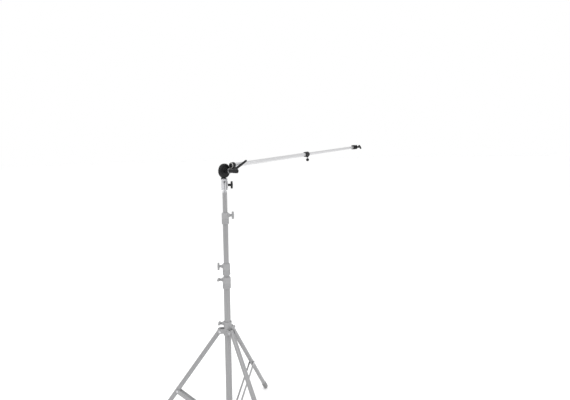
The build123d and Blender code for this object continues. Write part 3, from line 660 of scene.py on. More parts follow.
# %% A finish for every material slot
finish_of_slot = {
    "stand_grey": coated_casting, "knob_grey": moulded_grey, "plug_grey": moulded_grey,
    "foot_rubber": grey_rubber, "steel": zinc_plate, "nylon": natural_nylon, "fibre": pressed_fibre,
    "chrome": chrome_plate, "head_black": black_coat, "black_plastic": black_moulding,
    "pad_rubber": black_rubber, "arm_silver": arm_silver,
}
slot_of_node = {row["node"]: row["material_slot"] for row in frame["record"]["subparts"]}
for name, made in nodes.items():
    made.data.materials.clear()
    made.data.materials.append(finish_of_slot[slot_of_node[name]])
print(len(set(slot_of_node.values())), "slots dressed")

# %% [markdown]
# ## Putting a finished piece together
# A real part is often several shapes in one: a knob is a moulded bar on a steel screw. The
# helper joins drawn shapes into one named mesh, keeps each shape's finish, smooths the
# round faces, hides the plain measured piece and lets the new one ride on the same body.

# %% Joining shapes into a piece
SHARP_ANGLE = radians(38)


def make_piece(name, shapes, *stands_for, body=None, slot=None):
    """One named mesh, riding where the measured piece rides.

    A shape takes the finish of its slot, unless it comes in a pair with another finish.
    """
    slot = slot or slot_of_node[stands_for[0]]
    joined = bmesh.new()
    mesh = bpy.data.meshes.new(name)
    for shape in shapes:
        shape, material = shape if isinstance(shape, tuple) else (shape, finish_of_slot[slot])
        if material.name not in mesh.materials:
            mesh.materials.append(material)
        index = mesh.materials.find(material.name)
        for face in shape.faces:
            face.material_index = index
            face.smooth = True
        loose = bpy.data.meshes.new("loose")
        shape.to_mesh(loose)
        shape.free()
        joined.from_mesh(loose)
        bpy.data.meshes.remove(loose)
    joined.to_mesh(mesh)
    joined.free()
    mesh.set_sharp_from_angle(angle=SHARP_ANGLE)
    made = bpy.data.objects.new(name, mesh)
    scene.collection.objects.link(made)
    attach(made, body or body_of_node[stands_for[0]])
    if stands_for:
        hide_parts(*stands_for)
    print(name, "has", len(mesh.polygons), "faces")


def ring_of(shape, matrix, material, count, radius, first=0.0):
    """Sets a drawn shape out round the Z axis of a place with the ring tree."""
    mesh = bpy.data.meshes.new("pattern")
    shape.to_mesh(mesh)
    shape.free()
    pattern = bpy.data.objects.new("pattern", mesh)
    scene.collection.objects.link(pattern)
    made = grown(ring_tree, matrix, part=pattern, material=material, count=count, radius=radius, first=first)
    bpy.data.objects.remove(pattern)
    bpy.data.meshes.remove(mesh)
    return made


def thread_of(matrix, radius, pitch, turns, depth):
    """A screw thread in plated steel, paired with its finish."""
    return grown(thread_tree, matrix, radius=radius, pitch=pitch, turns=turns, depth=depth,
                 material=zinc_plate), zinc_plate


print("ready to join pieces")

# %% [markdown]
# ## Column tubes, legs and arm tubes
# All nine are drawn aluminium tube with a small rolled lip, so the same tree makes them
# from their outside radius, wall and length. Lines in the finish run along each tube, so
# every leg has its own copy of the finish, turned to that leg.

# %% Tubes of the column and the arm
TUBE_WALL, ARM_WALL, TUBE_LIP = 1.0, 1.2, 0.45
FRONT = Vector((0, -1, 0))
arm_point = hinge("arm_turn")[0]
ARM_UP = FRONT.cross(ARM_ALONG).normalized()
if ARM_UP.z < 0:
    ARM_UP = -ARM_UP


def tube_shape(node, origin, along, across, wall, material):
    """A measured tube drawn again by the tube tree, paired with its finish."""
    start, end = span(node, along, origin)
    return grown(tube_tree, shifted(seat(origin, along, across), z=start),
                 outside=half_width(node, across), wall=wall, length=end - start,
                 lip=TUBE_LIP, material=material), material


for node in ("base_tube", "riser_a", "riser_b", "riser_c"):
    make_piece(f"{node}_drawn", [tube_shape(node, Vector(), UP, RIGHT, TUBE_WALL, column_tube)], node)
for node in ("arm_outer_tube", "arm_inner_tube"):
    make_piece(f"{node}_drawn", [tube_shape(node, arm_point, ARM_ALONG, FRONT, ARM_WALL, arm_silver)], node)

# %% Directions of the legs and braces
legs = {}
for leg in ("left", "front", "back"):
    pivot, tangent = hinge(f"leg_{leg}_fold")
    out = Vector((pivot.x, pivot.y, 0)).normalized()
    foot_radius = half_width(f"foot_{leg}", tangent)
    reach = span(f"foot_{leg}", out)[1] - foot_radius
    ball = out * reach * MM + UP * foot_radius * MM
    low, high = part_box(f"brace_rivets_{leg}")
    legs[leg] = {"pivot": pivot, "tangent": tangent, "out": out, "run": (ball - pivot).normalized(),
                 "ball": ball, "foot_radius": foot_radius, "joint": (low + high) / 2,
                 "low_pivot": hinge(f"brace_{leg}_fold")[0]}
print({leg: round((facts["ball"] - facts["pivot"]).length / MM, 1) for leg, facts in legs.items()})

# %% Leg tubes with their end plugs
for leg, facts in legs.items():
    node = f"leg_{leg}"
    where = facts["pivot"], facts["run"], facts["tangent"]
    top = span(node, facts["run"], facts["pivot"])[0]
    radius = half_width(node, facts["tangent"])
    inside = radius - ARM_WALL - 0.1
    plug = turned([(0, top - 2.2, 0), (radius - 3, top - 2.2, 2), (radius - 0.3, top - 0.6, 0.8),
                   (radius - 0.3, top - 0.05, 0), (inside, top - 0.05, 0),
                   (inside, top + 4, 0.5), (0, top + 4, 0)], seat(*where), sides=40)
    coat = coated_tube(f"leg_tube_{leg}", facts["run"])
    make_piece(f"{node}_drawn", [tube_shape(node, *where, ARM_WALL, coat)], node)
    make_piece(f"{node}_plug", [plug], body=node, slot="knob_grey")

# %% [markdown]
# ## Rubber feet
# A foot is a moulded boot pushed over the leg, with a round toe that stands at any spread.
# Its grip rings are part of the turned outline, so they are real ridges.

# %% Turned rubber boots
GRIP_RINGS, GRIP_START, GRIP_PITCH = 4, 3.5, 5.2
for leg, facts in legs.items():
    node = f"foot_{leg}"
    start = span(node, facts["run"], facts["ball"])[0]
    outside = facts["foot_radius"]
    bore = half_width(f"leg_{leg}", facts["tangent"])
    outline = [(bore, start, 0.4), (outside - 0.9, start, 0.6)]
    for ring in range(GRIP_RINGS):
        height = start + GRIP_START + GRIP_PITCH * ring
        outline += [(outside - 0.9, height, 0.4), (outside - 0.1, height + 1.0, 0.5),
                    (outside - 0.1, height + 2.6, 0.5), (outside - 0.9, height + 3.6, 0.4)]
    outline += [(outside - 0.5, -4, 0.8)]
    outline += arc(0, 0, outside, 0, 90, 18)[:-1] + [(0, outside, 0)]
    outline += [(0, -outside / 2, 0), (bore, -outside / 2, 0.5)]
    boot = turned(outline, seat(facts["ball"], facts["run"], facts["tangent"]), sides=56)
    make_piece(f"{node}_boot", [boot], node)

# %% [markdown]
# ## Rivets and pins
# Domed rivets hold the legs, braces and lower ring. One rivet is turned with a small flat
# under each dome, and the ring tree sets it out three times round the column, or twice
# across a pair of braces.

# %% Pins of the hub and the lower ring, and brace rivets
DOME = 2.5
HUB_PIN_LIP, RING_PIN_LIP, RIVET_LIP = 2.1, 2.0, 2.1
NEAR_COLUMN = 0.03
QUARTER = radians(90)


def dome_profile(shank, lip, seat_at):
    """Half outline of a domed head that sits at a height on a shank."""
    wide = shank + lip
    return [(wide, seat_at, 0.25), (wide - 0.25, seat_at + 0.45 * DOME, 0.5),
            (wide * 0.62, seat_at + 0.9 * DOME, 1.2), (0, seat_at + DOME, 0)]


def through_pin(shank, lip, half_grip, matrix):
    """A pin with a domed head on both ends."""
    upper = dome_profile(shank, lip, half_grip)
    lower = [(radius, -height, round_by) for radius, height, round_by in reversed(upper)]
    return turned(lower + [(shank, -half_grip, 0.2), (shank, half_grip, 0.2)] + upper, matrix, sides=32)


pivot, tangent = legs["left"]["pivot"], legs["left"]["tangent"]
for node, level, lip in (("hub_pins", pivot.z, HUB_PIN_LIP),
                         ("spider_pins", legs["left"]["low_pivot"].z, RING_PIN_LIP)):
    corners = [v.co for v in nodes[node].data.vertices if (v.co - pivot).to_2d().length < NEAR_COLUMN]
    half_grip = max(abs((corner - pivot).dot(tangent)) for corner in corners) / MM - DOME
    pin = through_pin(half_width(node, UP) - lip, lip, half_grip, Matrix.Rotation(QUARTER, 4, "X"))
    ring = ring_of(pin, Matrix.Translation((0, 0, level)) @ ON_COLUMN, zinc_plate, 3,
                   pivot.to_2d().length / MM, atan2(pivot.y, pivot.x))
    make_piece(f"{node}_domed", [ring], node)

for leg, facts in legs.items():
    node = f"brace_rivets_{leg}"
    outer = span(node, facts["tangent"], facts["joint"])[1] - DOME
    inner = outer - 2.0
    shank = half_width(node, UP) - RIVET_LIP
    rivet = turned([(0, inner, 0), (shank, inner, 0.1), (shank, outer, 0.1)]
                   + dome_profile(shank, RIVET_LIP, outer), Matrix.Rotation(QUARTER, 4, "Y"), sides=32)
    place = seat(facts["joint"], facts["tangent"].cross(facts["run"]), facts["tangent"])
    make_piece(f"{node}_domed", [ring_of(rivet, place, zinc_plate, 2, 0.0)], node)

# %% [markdown]
# ## Braces
# Each leg is tied to the lower ring by two flat bars. A pressed bead runs along the outside
# of each bar, because a thin strip needs one to stay straight, and it also catches light.

# %% Pairs of pressed flat bars
BAR_WIDE, BAR_THICK = 16.0, 2.0
BEAD_INSET, BEAD_RADIUS, BEAD_THICK = 22, 2.6, 1.8


def long_oval(half_length, radius):
    """Outline of a strip with round ends."""
    return arc(half_length, 0, radius, -90, 90) + arc(-half_length, 0, radius, 90, 270)


for leg, facts in legs.items():
    node = f"brace_{leg}"
    slope = facts["joint"] - facts["low_pivot"]
    half_length = slope.length / MM / 2
    place = seat((facts["joint"] + facts["low_pivot"]) / 2, facts["tangent"], slope.normalized())
    outer_face = half_width(node, facts["tangent"])
    shapes = []
    for side in (-1, 1):
        strip = shifted(place, z=side * (outer_face - BAR_THICK / 2))
        shapes.append(plate(long_oval(half_length, BAR_WIDE / 2), BAR_THICK, 0.45, strip))
        shapes.append(plate(long_oval(half_length - BEAD_INSET, BEAD_RADIUS), BEAD_THICK, 0.8,
                            shifted(place, z=side * outer_face)))
    make_piece(f"{node}_pressed", shapes, node)

# %% [markdown]
# ## Hub and lower ring
# Both are castings that slide on or clamp to the column. The barrel is turned with a raised
# lip at each end and the lugs are plates with rounded rims, sunk into the barrel wall.

# %% The hub with its three pairs of lugs
SCREW_BORE = 4.1
BOSS_RADIUS = 7.5


def boss_shape(point, axis, inner, outer, radius=BOSS_RADIUS):
    """A round boss for a clamp screw, flared where it leaves its casting."""
    return turned([(SCREW_BORE, inner, 0), (radius + 2.5, inner, 0), (radius + 0.6, inner + 3.0, 2.5),
                   (radius, outer, 1.0), (SCREW_BORE, outer, 0.4)], seat(point, axis, UP), sides=48)


def lipped_barrel(bottom, top, radius, bore, lip):
    """A turned barrel with raised lips and a slimmer waist."""
    waist = radius - 0.9
    return turned([(bore, bottom, 0.3), (radius - 0.4, bottom, 1.0), (radius, bottom + 1.6, 0.5),
                   (radius, bottom + lip, 0.8), (waist, bottom + lip + 1.6, 0.8),
                   (waist, top - lip - 1.6, 0.8), (radius, top - lip, 0.8),
                   (radius, top - 1.6, 0.5), (radius - 0.4, top, 1.0), (bore, top, 0.3)], sides=72)


HUB_RADIUS, HUB_LUG_RADIUS, HUB_LUG_THICK, SIDE_GAP = 19.0, 10.0, 4.0, 0.3
tube_radius = half_width("base_tube", RIGHT)
shapes = [lipped_barrel(*levels("leg_hub"), HUB_RADIUS, tube_radius + SIDE_GAP, 6.0)]
lug_offset = half_width("leg_left", legs["left"]["tangent"]) + SIDE_GAP + HUB_LUG_THICK / 2
for facts in legs.values():
    far = facts["pivot"].to_2d().length / MM
    flank = arc(far, 0, HUB_LUG_RADIUS, -90, 90) + [(17, 10, 3), (9.5, 14, 0), (9.5, -14, 0), (17, -10, 3)]
    for side in (-1, 1):
        place = shifted(seat(UP * facts["pivot"].z, facts["tangent"], facts["out"]), z=side * lug_offset)
        shapes.append(plate(flank, HUB_LUG_THICK, 0.8, place))
shapes.append(boss_shape(*hinge("hub_knob_turn"), HUB_RADIUS - 2.0, HUB_RADIUS + 5.0))
make_piece("leg_hub_cast", shapes, "leg_hub")

# %% The lower ring that carries the braces, and the plug of the column
RING_WALL, RING_LUG_RADIUS, RING_LUG_WIDE, EYE_BORE = 4.0, 8.0, 20.6, 2.5
shapes = [lipped_barrel(*levels("brace_spider"), tube_radius + RING_WALL, tube_radius, 4.0)]
for facts in legs.values():
    far = facts["low_pivot"].to_2d().length / MM
    place = seat(UP * facts["low_pivot"].z, facts["tangent"], facts["out"])
    half = RING_LUG_WIDE / 2
    shapes.append(turned([(EYE_BORE, -half, 0.3), (RING_LUG_RADIUS, -half, 0.8),
                          (RING_LUG_RADIUS, half, 0.8), (EYE_BORE, half, 0.3)],
                         shifted(place, x=far), sides=40))
    web = [(tube_radius + 1, -9, 0), (far - 3, -7.4, 0), (far - 3, 7.4, 0), (tube_radius + 1, 9, 0)]
    shapes.append(plate(web, 12.0, 0.8, place))
make_piece("brace_spider_cast", shapes, "brace_spider")

low, high = levels("base_cap")
inside = tube_radius - TUBE_WALL - 0.05
plug = turned([(0, low + 1.2, 0), (7, low + 1.2, 0.8), (8.2, low, 0.5), (tube_radius - 0.6, low, 0.8),
               (tube_radius, low + 1.2, 0.5), (tube_radius, low + 2.9, 0.3), (inside, low + 2.95, 0),
               (inside, high, 0.6), (0, high, 0)])
make_piece("base_cap_moulded", [plug], "base_cap")

# %% [markdown]
# ## Clamp collars
# A collar is seated on the top of one tube and grips the next one with a screw. The lower
# half is ribbed so that a hand can hold it, and the ribs are one small bar set out by the
# ring tree.

# %% Three ribbed collars
def upright_bar(width, depth, low, high):
    """A small rib standing on Z, its depth along X, for a ring."""
    outline = [(-depth, low, 0), (depth, low, 0.4), (depth, high, 0.4), (-depth, high, 0)]
    return plate(outline, width, width * 0.3, Matrix.Rotation(QUARTER, 4, "X"), steps=2)


COLLAR_SEAT, COLLAR_WALL, COLLAR_RIBS = 24.0, 4.4, 26
for letter, lower, upper in (("a", "base_tube", "riser_a"), ("b", "riser_a", "riser_b"),
                             ("c", "riser_b", "riser_c")):
    node = f"collar_{letter}"
    low, high = levels(node)
    step = low + COLLAR_SEAT
    seat_bore = half_width(lower, RIGHT)
    slide_bore = half_width(upper, RIGHT) + SIDE_GAP
    radius = seat_bore + COLLAR_WALL
    outline = [(seat_bore, low, 0.3), (radius - 0.5, low, 1.2), (radius, low + 1.8, 0.5),
               (radius, low + 3.4, 0.5), (radius - 1.1, low + 4.6, 0.5), (radius - 1.1, step - 2, 0.8),
               (radius, step, 0.8), (radius, high - 4.5, 1.0), (radius - 1.3, high - 2.2, 0.8),
               (radius - 1.6, high, 0.9), (slide_bore, high, 0.4), (slide_bore, step, 0),
               (seat_bore, step, 0)]
    ribs = ring_of(upright_bar(1.5, 0.8, low + 4.0, step - 1.0), ON_COLUMN, coated_casting,
                   COLLAR_RIBS, radius - 1.2)
    boss = boss_shape(*hinge(f"{node}_knob_turn"), radius - 1.5, radius + 5.0)
    make_piece(f"{node}_cast", [turned(outline, sides=72), ribs, boss], node)

# %% [markdown]
# ## T-knobs
# Every clamp screw ends in a moulded crossbar. The bar narrows at the middle so that two
# fingers can turn it, its neck is ribbed, and the steel screw has a real thread, made by
# the helix tree.

# %% One knob recipe for six screws
KNOB_LONG, KNOB_WIDE, KNOB_THICK = 33.2, 10.0, 9.0
KNOB_NECK, KNOB_RIBS, THREAD_PITCH = 4.9, 12, 1.25


def t_knob(node, neck, bar_turn, screw, across=UP, inwards=1):
    """A T-knob: crossbar, ribbed neck, screw and thread, along its joint's axis."""
    point, axis = hinge(f"{node}_turn")
    place = seat(point, axis * inwards, across)
    tip, top = span(node, axis * inwards, point)
    under = top - KNOB_THICK
    neck_start = under - neck
    half, side = KNOB_LONG / 2, KNOB_WIDE / 2
    upper = [(half, side * 0.86, side * 0.75), (half * 0.55, side, 4), (0, side * 0.8, 9),
             (-half * 0.55, side, 4), (-half, side * 0.86, side * 0.75)]
    outline = [(x, -y, radius) for x, y, radius in reversed(upper)] + upper
    bar_place = shifted(place, z=under + KNOB_THICK / 2) @ Matrix.Rotation(bar_turn, 4, "Z")
    wings = plate(outline, KNOB_THICK, 2.4, bar_place, steps=8, rounds=6)
    collar = turned([(0, neck_start, 0), (5.5, neck_start, 0.5), (5.9, neck_start + 1.4, 0.5),
                     (KNOB_NECK, neck_start + 2.6, 1.0), (KNOB_NECK, under - 2.0, 1.5),
                     (5.8, under + 1.0, 0.8), (5.8, top + 0.35, 0.8), (3.6, top + 0.35, 0.4),
                     (3.2, top - 0.5, 0.3), (0, top - 0.5, 0)], place, sides=48)
    ribs = ring_of(upright_bar(1.0, 0.7, neck_start + 2.2, under + 0.6), place,
                   finish_of_slot[slot_of_node[node]], KNOB_RIBS, KNOB_NECK)
    root = screw * 0.42
    core = turned([(0, tip, 0), (screw * 0.38, tip, 0.4), (root, tip + 1.0, 0.3),
                   (root, neck_start + 0.5, 0), (0, neck_start + 0.5, 0)], place, sides=32)
    turns = max(1.0, (neck_start - tip - 1.6) / THREAD_PITCH)
    thread = thread_of(shifted(place, z=tip + 0.9), root, THREAD_PITCH, turns, screw * 0.08)
    make_piece(f"{node}_moulded", [wings, collar, ribs, (core, zinc_plate), thread], node)


t_knob("collar_a_knob", 8.0, QUARTER, 8.0)
t_knob("collar_b_knob", 8.0, 0.0, 8.0)
t_knob("collar_c_knob", 8.0, 0.0, 8.0)
t_knob("hub_knob", 8.0, QUARTER, 8.0)
t_knob("socket_knob", 12.0, 0.0, 8.0)
t_knob("rim_clip_screw", 18.0, QUARTER / 2, 6.0, ARM_UP, inwards=-1)

# %% [markdown]
# ## Socket
# A chromed socket drops over the stud and is held by the black knob. Chrome shows its form
# only by what it reflects, so the lips and the groove matter more than the colour.

# %% Chromed socket
STUD_FLANGE_RADIUS, SOCKET_BORE = 10.4, 8.05
low, high = levels("stud_socket")
radius = half_width("stud_socket", RIGHT)
bore = half_width("stud", FRONT) - STUD_FLANGE_RADIUS + SOCKET_BORE
groove = radius - 0.8
outline = [(bore, low, 0.4), (radius - 1.0, low, 1.0), (radius, low + 1.2, 0.6), (radius, low + 5.0, 0.4),
           (groove, low + 5.8, 0.3), (groove, low + 7.0, 0.3), (radius, low + 7.8, 0.4),
           (radius, high - 7.0, 0.4), (groove, high - 6.2, 0.3), (groove, high - 5.2, 0.3),
           (radius, high - 4.4, 0.4), (radius, high - 1.2, 0.6), (radius - 1.0, high, 1.0), (bore, high, 0.4)]
ring = boss_shape(*hinge("socket_knob_turn"), radius - 2.0, radius + 0.4, 6.6)
make_piece("stud_socket_turned", [turned(outline, sides=80), ring], "stud_socket")

# %% [markdown]
# ## Toothed discs
# The head tilts between two discs with teeth cut round their rims, which mesh when the
# lever is tightened. Each tooth is one small wedge, and the ring tree cuts them all. The
# outer faces are dished, as a casting is, to save metal and keep the rim stiff.

# %% Tooth and disc outlines
def wedge(length, width, height):
    """A ridge along X that stands on Z = 0."""
    shape = bmesh.new()
    first, last = [[shape.verts.new(corner) for corner in
                    ((x, -width / 2, -0.1), (x, width / 2, -0.1), (x, 0, height))]
                   for x in (-length / 2, length / 2)]
    for k in range(3):
        shape.faces.new((first[k - 1], first[k], last[k], last[k - 1]))
    shape.faces.new(first)
    shape.faces.new(last)
    bmesh.ops.recalc_face_normals(shape, faces=shape.faces)
    return shape


AXLE = hinge("head_tilt")[0]
TEETH = 72
TOOTH_LENGTH, TOOTH_WIDTH, TOOTH_HEIGHT = 6.4, 1.9, 0.7
AXLE_BORE, DISH = 4.1, 1.6


def disc_shapes(node, side, across):
    """A dished disc with its teeth; side is 1 in front of the middle plane, -1 behind."""
    place = seat(AXLE, FRONT * side, across)
    radius = half_width(node, RIGHT)
    inner, outer = sorted(abs(reach) for reach in span("tilt_disc_front", FRONT, AXLE))
    outline = [(AXLE_BORE, inner, 0.3), (radius - 0.8, inner, 0.4), (radius, inner + 0.8, 0.4),
               (radius, outer - 4.8, 1.2), (radius - 4.8, outer, 1.6), (radius - 7.5, outer, 0.7),
               (radius - 9.0, outer - DISH, 0.7), (16.5, outer - DISH, 0.9), (15.0, outer, 0.7),
               (AXLE_BORE, outer, 0.4)]
    facing_in = shifted(place, z=inner) @ Matrix.Rotation(pi, 4, "X")
    teeth = ring_of(wedge(TOOTH_LENGTH, TOOTH_WIDTH, TOOTH_HEIGHT), facing_in, black_coat, TEETH,
                    radius - 0.9 - TOOTH_LENGTH / 2, 0.0 if side > 0 else pi / TEETH)
    return [turned(outline, place, sides=96), teeth]


NECK_PLATE, NECK_BEHIND, FLANGE_RADIUS, SPIGOT_RADIUS = 8.5, 5.25, 14.0, 8.0
shapes = disc_shapes("tilt_disc_rear", -1, RIGHT)
foot = levels("stud_socket")[1]
neck = [(-13, 0.4, 0.5), (13, 0.4, 0.5), (13, 4.5, 1.5), (11, 7.5, 3), (11, 17, 0), (-11, 17, 0),
        (-11, 7.5, 3), (-13, 4.5, 1.5)]
shapes.append(plate(neck, NECK_PLATE, 1.0, shifted(seat(UP * foot * MM, FRONT, RIGHT), z=-NECK_BEHIND)))
flange = turned([(0, foot, 0), (FLANGE_RADIUS - 1, foot, 0.4), (FLANGE_RADIUS, foot + 1.2, 0.6),
                 (FLANGE_RADIUS, foot + 3.4, 1.2), (9.0, foot + 5.4, 1.5), (0, foot + 5.4, 0)])
spigot = turned([(0, foot - 8, 0), (SPIGOT_RADIUS, foot - 8, 0.6), (SPIGOT_RADIUS, foot + 1, 0),
                 (0, foot + 1, 0)], sides=48)
shapes += [(flange, chrome_plate), (spigot, chrome_plate)]
make_piece("tilt_disc_rear_toothed", shapes, "tilt_disc_rear")
make_piece("tilt_disc_front_toothed", disc_shapes("tilt_disc_front", 1, ARM_ALONG), "tilt_disc_front")

# %% The hexagon bolt behind the head
back, tip = span("axle_bolt", FRONT, AXLE)
AXLE_PLACE = seat(AXLE, FRONT, RIGHT)
ACROSS_FLATS, SHANK, THREAD_ROOT = 13.0, 3.95, 3.5
point_radius = ACROSS_FLATS / 2 / cos(pi / 6)
hexagon = [(point_radius * cos(radians(60 * k)), point_radius * sin(radians(60 * k)), 0.4) for k in range(6)]
bolt_head = plate(hexagon, 5.0, 0.6, shifted(AXLE_PLACE, z=back + 2.9))
crown = turned([(0, back, 0), (4.6, back, 0.6), (5.9, back + 0.7, 0.3), (5.9, back + 1.5, 0),
                (0, back + 1.5, 0)], AXLE_PLACE, sides=48)
shank = turned([(0, back + 3, 0), (SHANK, back + 3, 0), (SHANK, tip - 14, 0.3), (THREAD_ROOT, tip - 13, 0.3),
                (THREAD_ROOT, tip - 1, 0.4), (2.8, tip, 0.3), (0, tip, 0)], AXLE_PLACE, sides=32)
thread = thread_of(shifted(AXLE_PLACE, z=tip - 12.5), 3.45, THREAD_PITCH, 9.0, 0.5)
make_piece("axle_bolt_hexagon", [bolt_head, crown, shank, thread], "axle_bolt")

# %% [markdown]
# ## Arm clamp and clip
# Castings such as the split clamp are easiest to keep from the measured shape. A copy is
# welded, its flat faces are merged, and only the hard edges are rounded.

# %% A measured casting with its edges eased
def eased(node, width, sharp=38):
    """The measured mesh with its hard edges rounded."""
    shape = bmesh.new()
    shape.from_mesh(nodes[node].data)
    bmesh.ops.remove_doubles(shape, verts=shape.verts, dist=1e-6)
    bmesh.ops.dissolve_limit(shape, angle_limit=radians(0.6), verts=shape.verts, edges=shape.edges)
    hard = [line for line in shape.edges if len(line.link_faces) == 2
            and line.calc_face_angle(0.0) > radians(sharp)]
    bmesh.ops.bevel(shape, geom=hard, offset=width * MM, segments=2, profile=0.5, affect="EDGES",
                    clamp_overlap=True)
    return shape


make_piece("arm_clamp_eased", [eased("arm_clamp", 0.5)], "arm_clamp")

# %% The rim clip with its open jaws
JAW, CHANNEL = 18.0, 12.0
start, end = span("rim_clip", ARM_ALONG, arm_point)
half, gap = half_width("rim_clip", FRONT), CHANNEL / 2
outline = [(start, -half, 4), (end, -half, 2.4), (end, -gap, 1.8), (end - JAW, -gap, 2), (end - JAW, gap, 2),
           (end, gap, 1.8), (end, half, 2.4), (start, half, 4)]
block = plate(outline, half_width("rim_clip", ARM_UP) * 2, 1.6, seat(arm_point, ARM_UP, ARM_ALONG),
              steps=6, rounds=4)
ON_ARM = seat(arm_point, ARM_ALONG, FRONT)
entry = turned([(8.2, start - 1.4, 0.3), (9.6, start - 1.4, 0.6), (10.4, start + 1.5, 0),
                (8.2, start + 1.5, 0)], ON_ARM, sides=48)
make_piece("rim_clip_moulded", [block, entry], "rim_clip")

# %% [markdown]
# ## Lever
# The lever is the piece a hand meets first. Its barrel is fluted, its end carries the head
# of the screw, and its handle narrows towards a round tip. The handle is a skin drawn
# through ellipses, with more ellipses filled in on a smooth curve.

# %% Barrel, end screw and handle
def smoothed(sections, steps=5):
    """Fills in sections on a smooth curve through the given ones."""
    filled = []
    for i in range(len(sections) - 1):
        p0, p1 = sections[max(i - 1, 0)], sections[i]
        p2, p3 = sections[i + 1], sections[min(i + 2, len(sections) - 1)]
        for k in range(steps):
            t = k / steps
            filled.append(tuple(0.5 * (2 * b + (c - a) * t + (2 * a - 5 * b + 4 * c - d) * t ** 2
                                       + (3 * b - a - 3 * c + d) * t ** 3)
                                for a, b, c, d in zip(p0, p1, p2, p3)))
    return filled + [sections[-1]]


start, end = span("clamp_lever", FRONT, AXLE)
BARREL_RADIUS, FLUTES, HANDLE_RISE = 9.5, 18, radians(26.3)
HANDLE_IN_FRONT = FRONT * 0.055
bolt_end = tip + 2.0
outline = [(AXLE_BORE, start, 0.3), (8.4, start, 0.8), (9.3, start + 1.4, 0.4), (9.3, start + 4.0, 0.5),
           (8.9, start + 5.0, 0.5), (8.9, end - 8.0, 0.5), (BARREL_RADIUS, end - 7.0, 0.5),
           (BARREL_RADIUS, end - 1.8, 1.4), (7.2, end, 0.8), (5.3, end, 0.3), (5.0, end - 1.8, 0.2),
           (0, end - 1.8, 0), (0, bolt_end, 0), (AXLE_BORE, bolt_end, 0)]
barrel = turned(outline, AXLE_PLACE, sides=72)
flutes = ring_of(upright_bar(1.5, 0.65, end - 26.0, end - 7.6), AXLE_PLACE, black_moulding, FLUTES, 8.85)
screw_head = turned([(2.2, end - 2.2, 0), (4.6, end - 2.2, 0), (4.6, end - 0.6, 0.7), (3.6, end - 0.3, 0.4),
                     (2.2, end - 0.5, 0.2)], AXLE_PLACE, sides=40)
socket_floor = turned([(0, end - 2.1, 0), (2.4, end - 2.1, 0), (2.4, end - 1.7, 0), (0, end - 1.7, 0)],
                      AXLE_PLACE, sides=6)
lever_out = Vector((cos(HANDLE_RISE), 0, sin(HANDLE_RISE)))
reach = span("clamp_lever", lever_out, AXLE)[1]
handle = [(height, 0, 0, wide, deep) for height, wide, deep in (
    (0, 6.9, 6.7), (12, 7.0, 6.8), (24, 6.5, 6.2), (42, 6.2, 5.7), (60, 6.0, 5.5), (76, 5.8, 5.3),
    (88, 5.5, 5.0), (reach - 4.0, 4.5, 4.2), (reach - 1.4, 2.8, 2.6), (reach, 0.5, 0.5))]
skin = lofted(smoothed(handle), seat(AXLE + HANDLE_IN_FRONT, lever_out, FRONT))
make_piece("clamp_lever_moulded", [barrel, flutes, skin, (screw_head, black_coat),
                                   (socket_floor, black_coat)], "clamp_lever")

start, end = span("lever_washer", FRONT, AXLE)
washer = turned([(AXLE_BORE, start, 0.2), (11.0, start, 0.6), (11.0, end, 0.6), (AXLE_BORE, end, 0.2)],
                AXLE_PLACE)
make_piece("lever_washer_turned", [washer], "lever_washer")

# %% [markdown]
# ## Arm lock and arm end
# The inner arm tube is locked by a small collar with a ball knob under it. The collar is
# ribbed round its thick end. The back end of the arm has a plug with a soft edge.

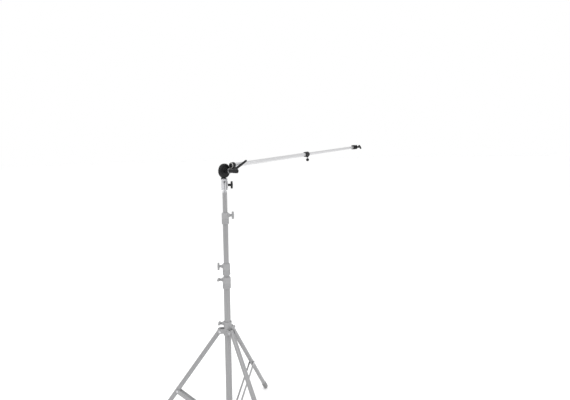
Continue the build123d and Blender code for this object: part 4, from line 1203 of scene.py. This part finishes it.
# %% Ribbed lock collar and ball knob
LOCK_STEP, LOCK_RIBS = 14.0, 28
start, end = span("arm_lock_collar", ARM_ALONG, arm_point)
step = end - LOCK_STEP
outer_r, inner_r = 10.0, 8.3
outline = [(outer_r, start, 0.3), (12.6, start, 0.8), (13.4, start + 2.0, 0.6), (13.4, step - 1.0, 0.6),
           (14.0, step + 1.0, 0.6), (14.0, end - 2.5, 1.0), (12.4, end, 1.2), (inner_r, end, 0.4),
           (inner_r, step, 0), (outer_r, step, 0)]
ribs = ring_of(upright_bar(1.3, 0.6, start + 2.0, step - 0.6), ON_ARM, black_moulding, LOCK_RIBS, 13.3)
point, axis = hinge("arm_lock_knob_turn")
place = seat(point, axis, ARM_ALONG)
boss = turned([(2.6, 12.5, 0), (7.6, 12.5, 0), (6.4, 15.0, 1.5), (6.0, 17.5, 0.6), (2.6, 17.5, 0.3)],
              place, sides=40)
make_piece("arm_lock_collar_ribbed", [turned(outline, ON_ARM), ribs, boss], "arm_lock_collar")

BALL_RADIUS, STEM_RADIUS, STEM_PITCH = 8.5, 2.1, 0.8
tip, bottom = span("arm_lock_knob", axis, point)
centre = bottom - BALL_RADIUS
top = centre - BALL_RADIUS
ball = turned([(0, top - 0.2, 0), (4.0, top - 0.2, 0.4), (4.4, top + 1.2, 0.5)]
              + arc(0, centre, BALL_RADIUS, -54, 82, 22) + [(0, bottom, 0)], place, sides=56)
stem = turned([(0, tip, 0), (1.9, tip, 0.3), (STEM_RADIUS, tip + 0.6, 0.2), (STEM_RADIUS, centre - 4, 0),
               (0, centre - 4, 0)], place, sides=28)
thread = thread_of(shifted(place, z=tip + 0.6), STEM_RADIUS, STEM_PITCH, (top - tip - 1.0) / STEM_PITCH, 0.36)
make_piece("arm_lock_knob_ball", [ball, (stem, zinc_plate), thread], "arm_lock_knob")

start, end = span("arm_end_cap", ARM_ALONG, arm_point)
cap = turned([(0, start + 0.2, 0), (5.0, start, 0), (8.8, start + 0.3, 1.4), (10.0, start + 1.8, 0.7),
              (10.0, start + 2.9, 0.2), (8.7, start + 2.95, 0), (8.7, end, 0.6), (0, end, 0)],
             ON_ARM, sides=56)
make_piece("arm_end_cap_moulded", [cap], "arm_end_cap")

# %% The pad on the end of the clip screw
point, axis = hinge("rim_clip_screw_turn")
start, end = span("rim_clip_pad", axis, point)
pad_r = half_width("rim_clip_pad", ARM_UP)
ring_floor = end - 0.35
face = [(0, end, 0), (1.2, end, 0.2), (1.5, ring_floor, 0.1), (2.2, ring_floor, 0.1), (2.5, end, 0.2),
        (pad_r - 0.5, end, 0.3), (pad_r, end - 0.5, 0.2), (pad_r, start + 0.4, 0.2),
        (pad_r - 0.4, start, 0.2), (0, start, 0)]
make_piece("rim_clip_pad_moulded", [turned(face, seat(point, axis, ARM_UP), sides=40)], "rim_clip_pad")
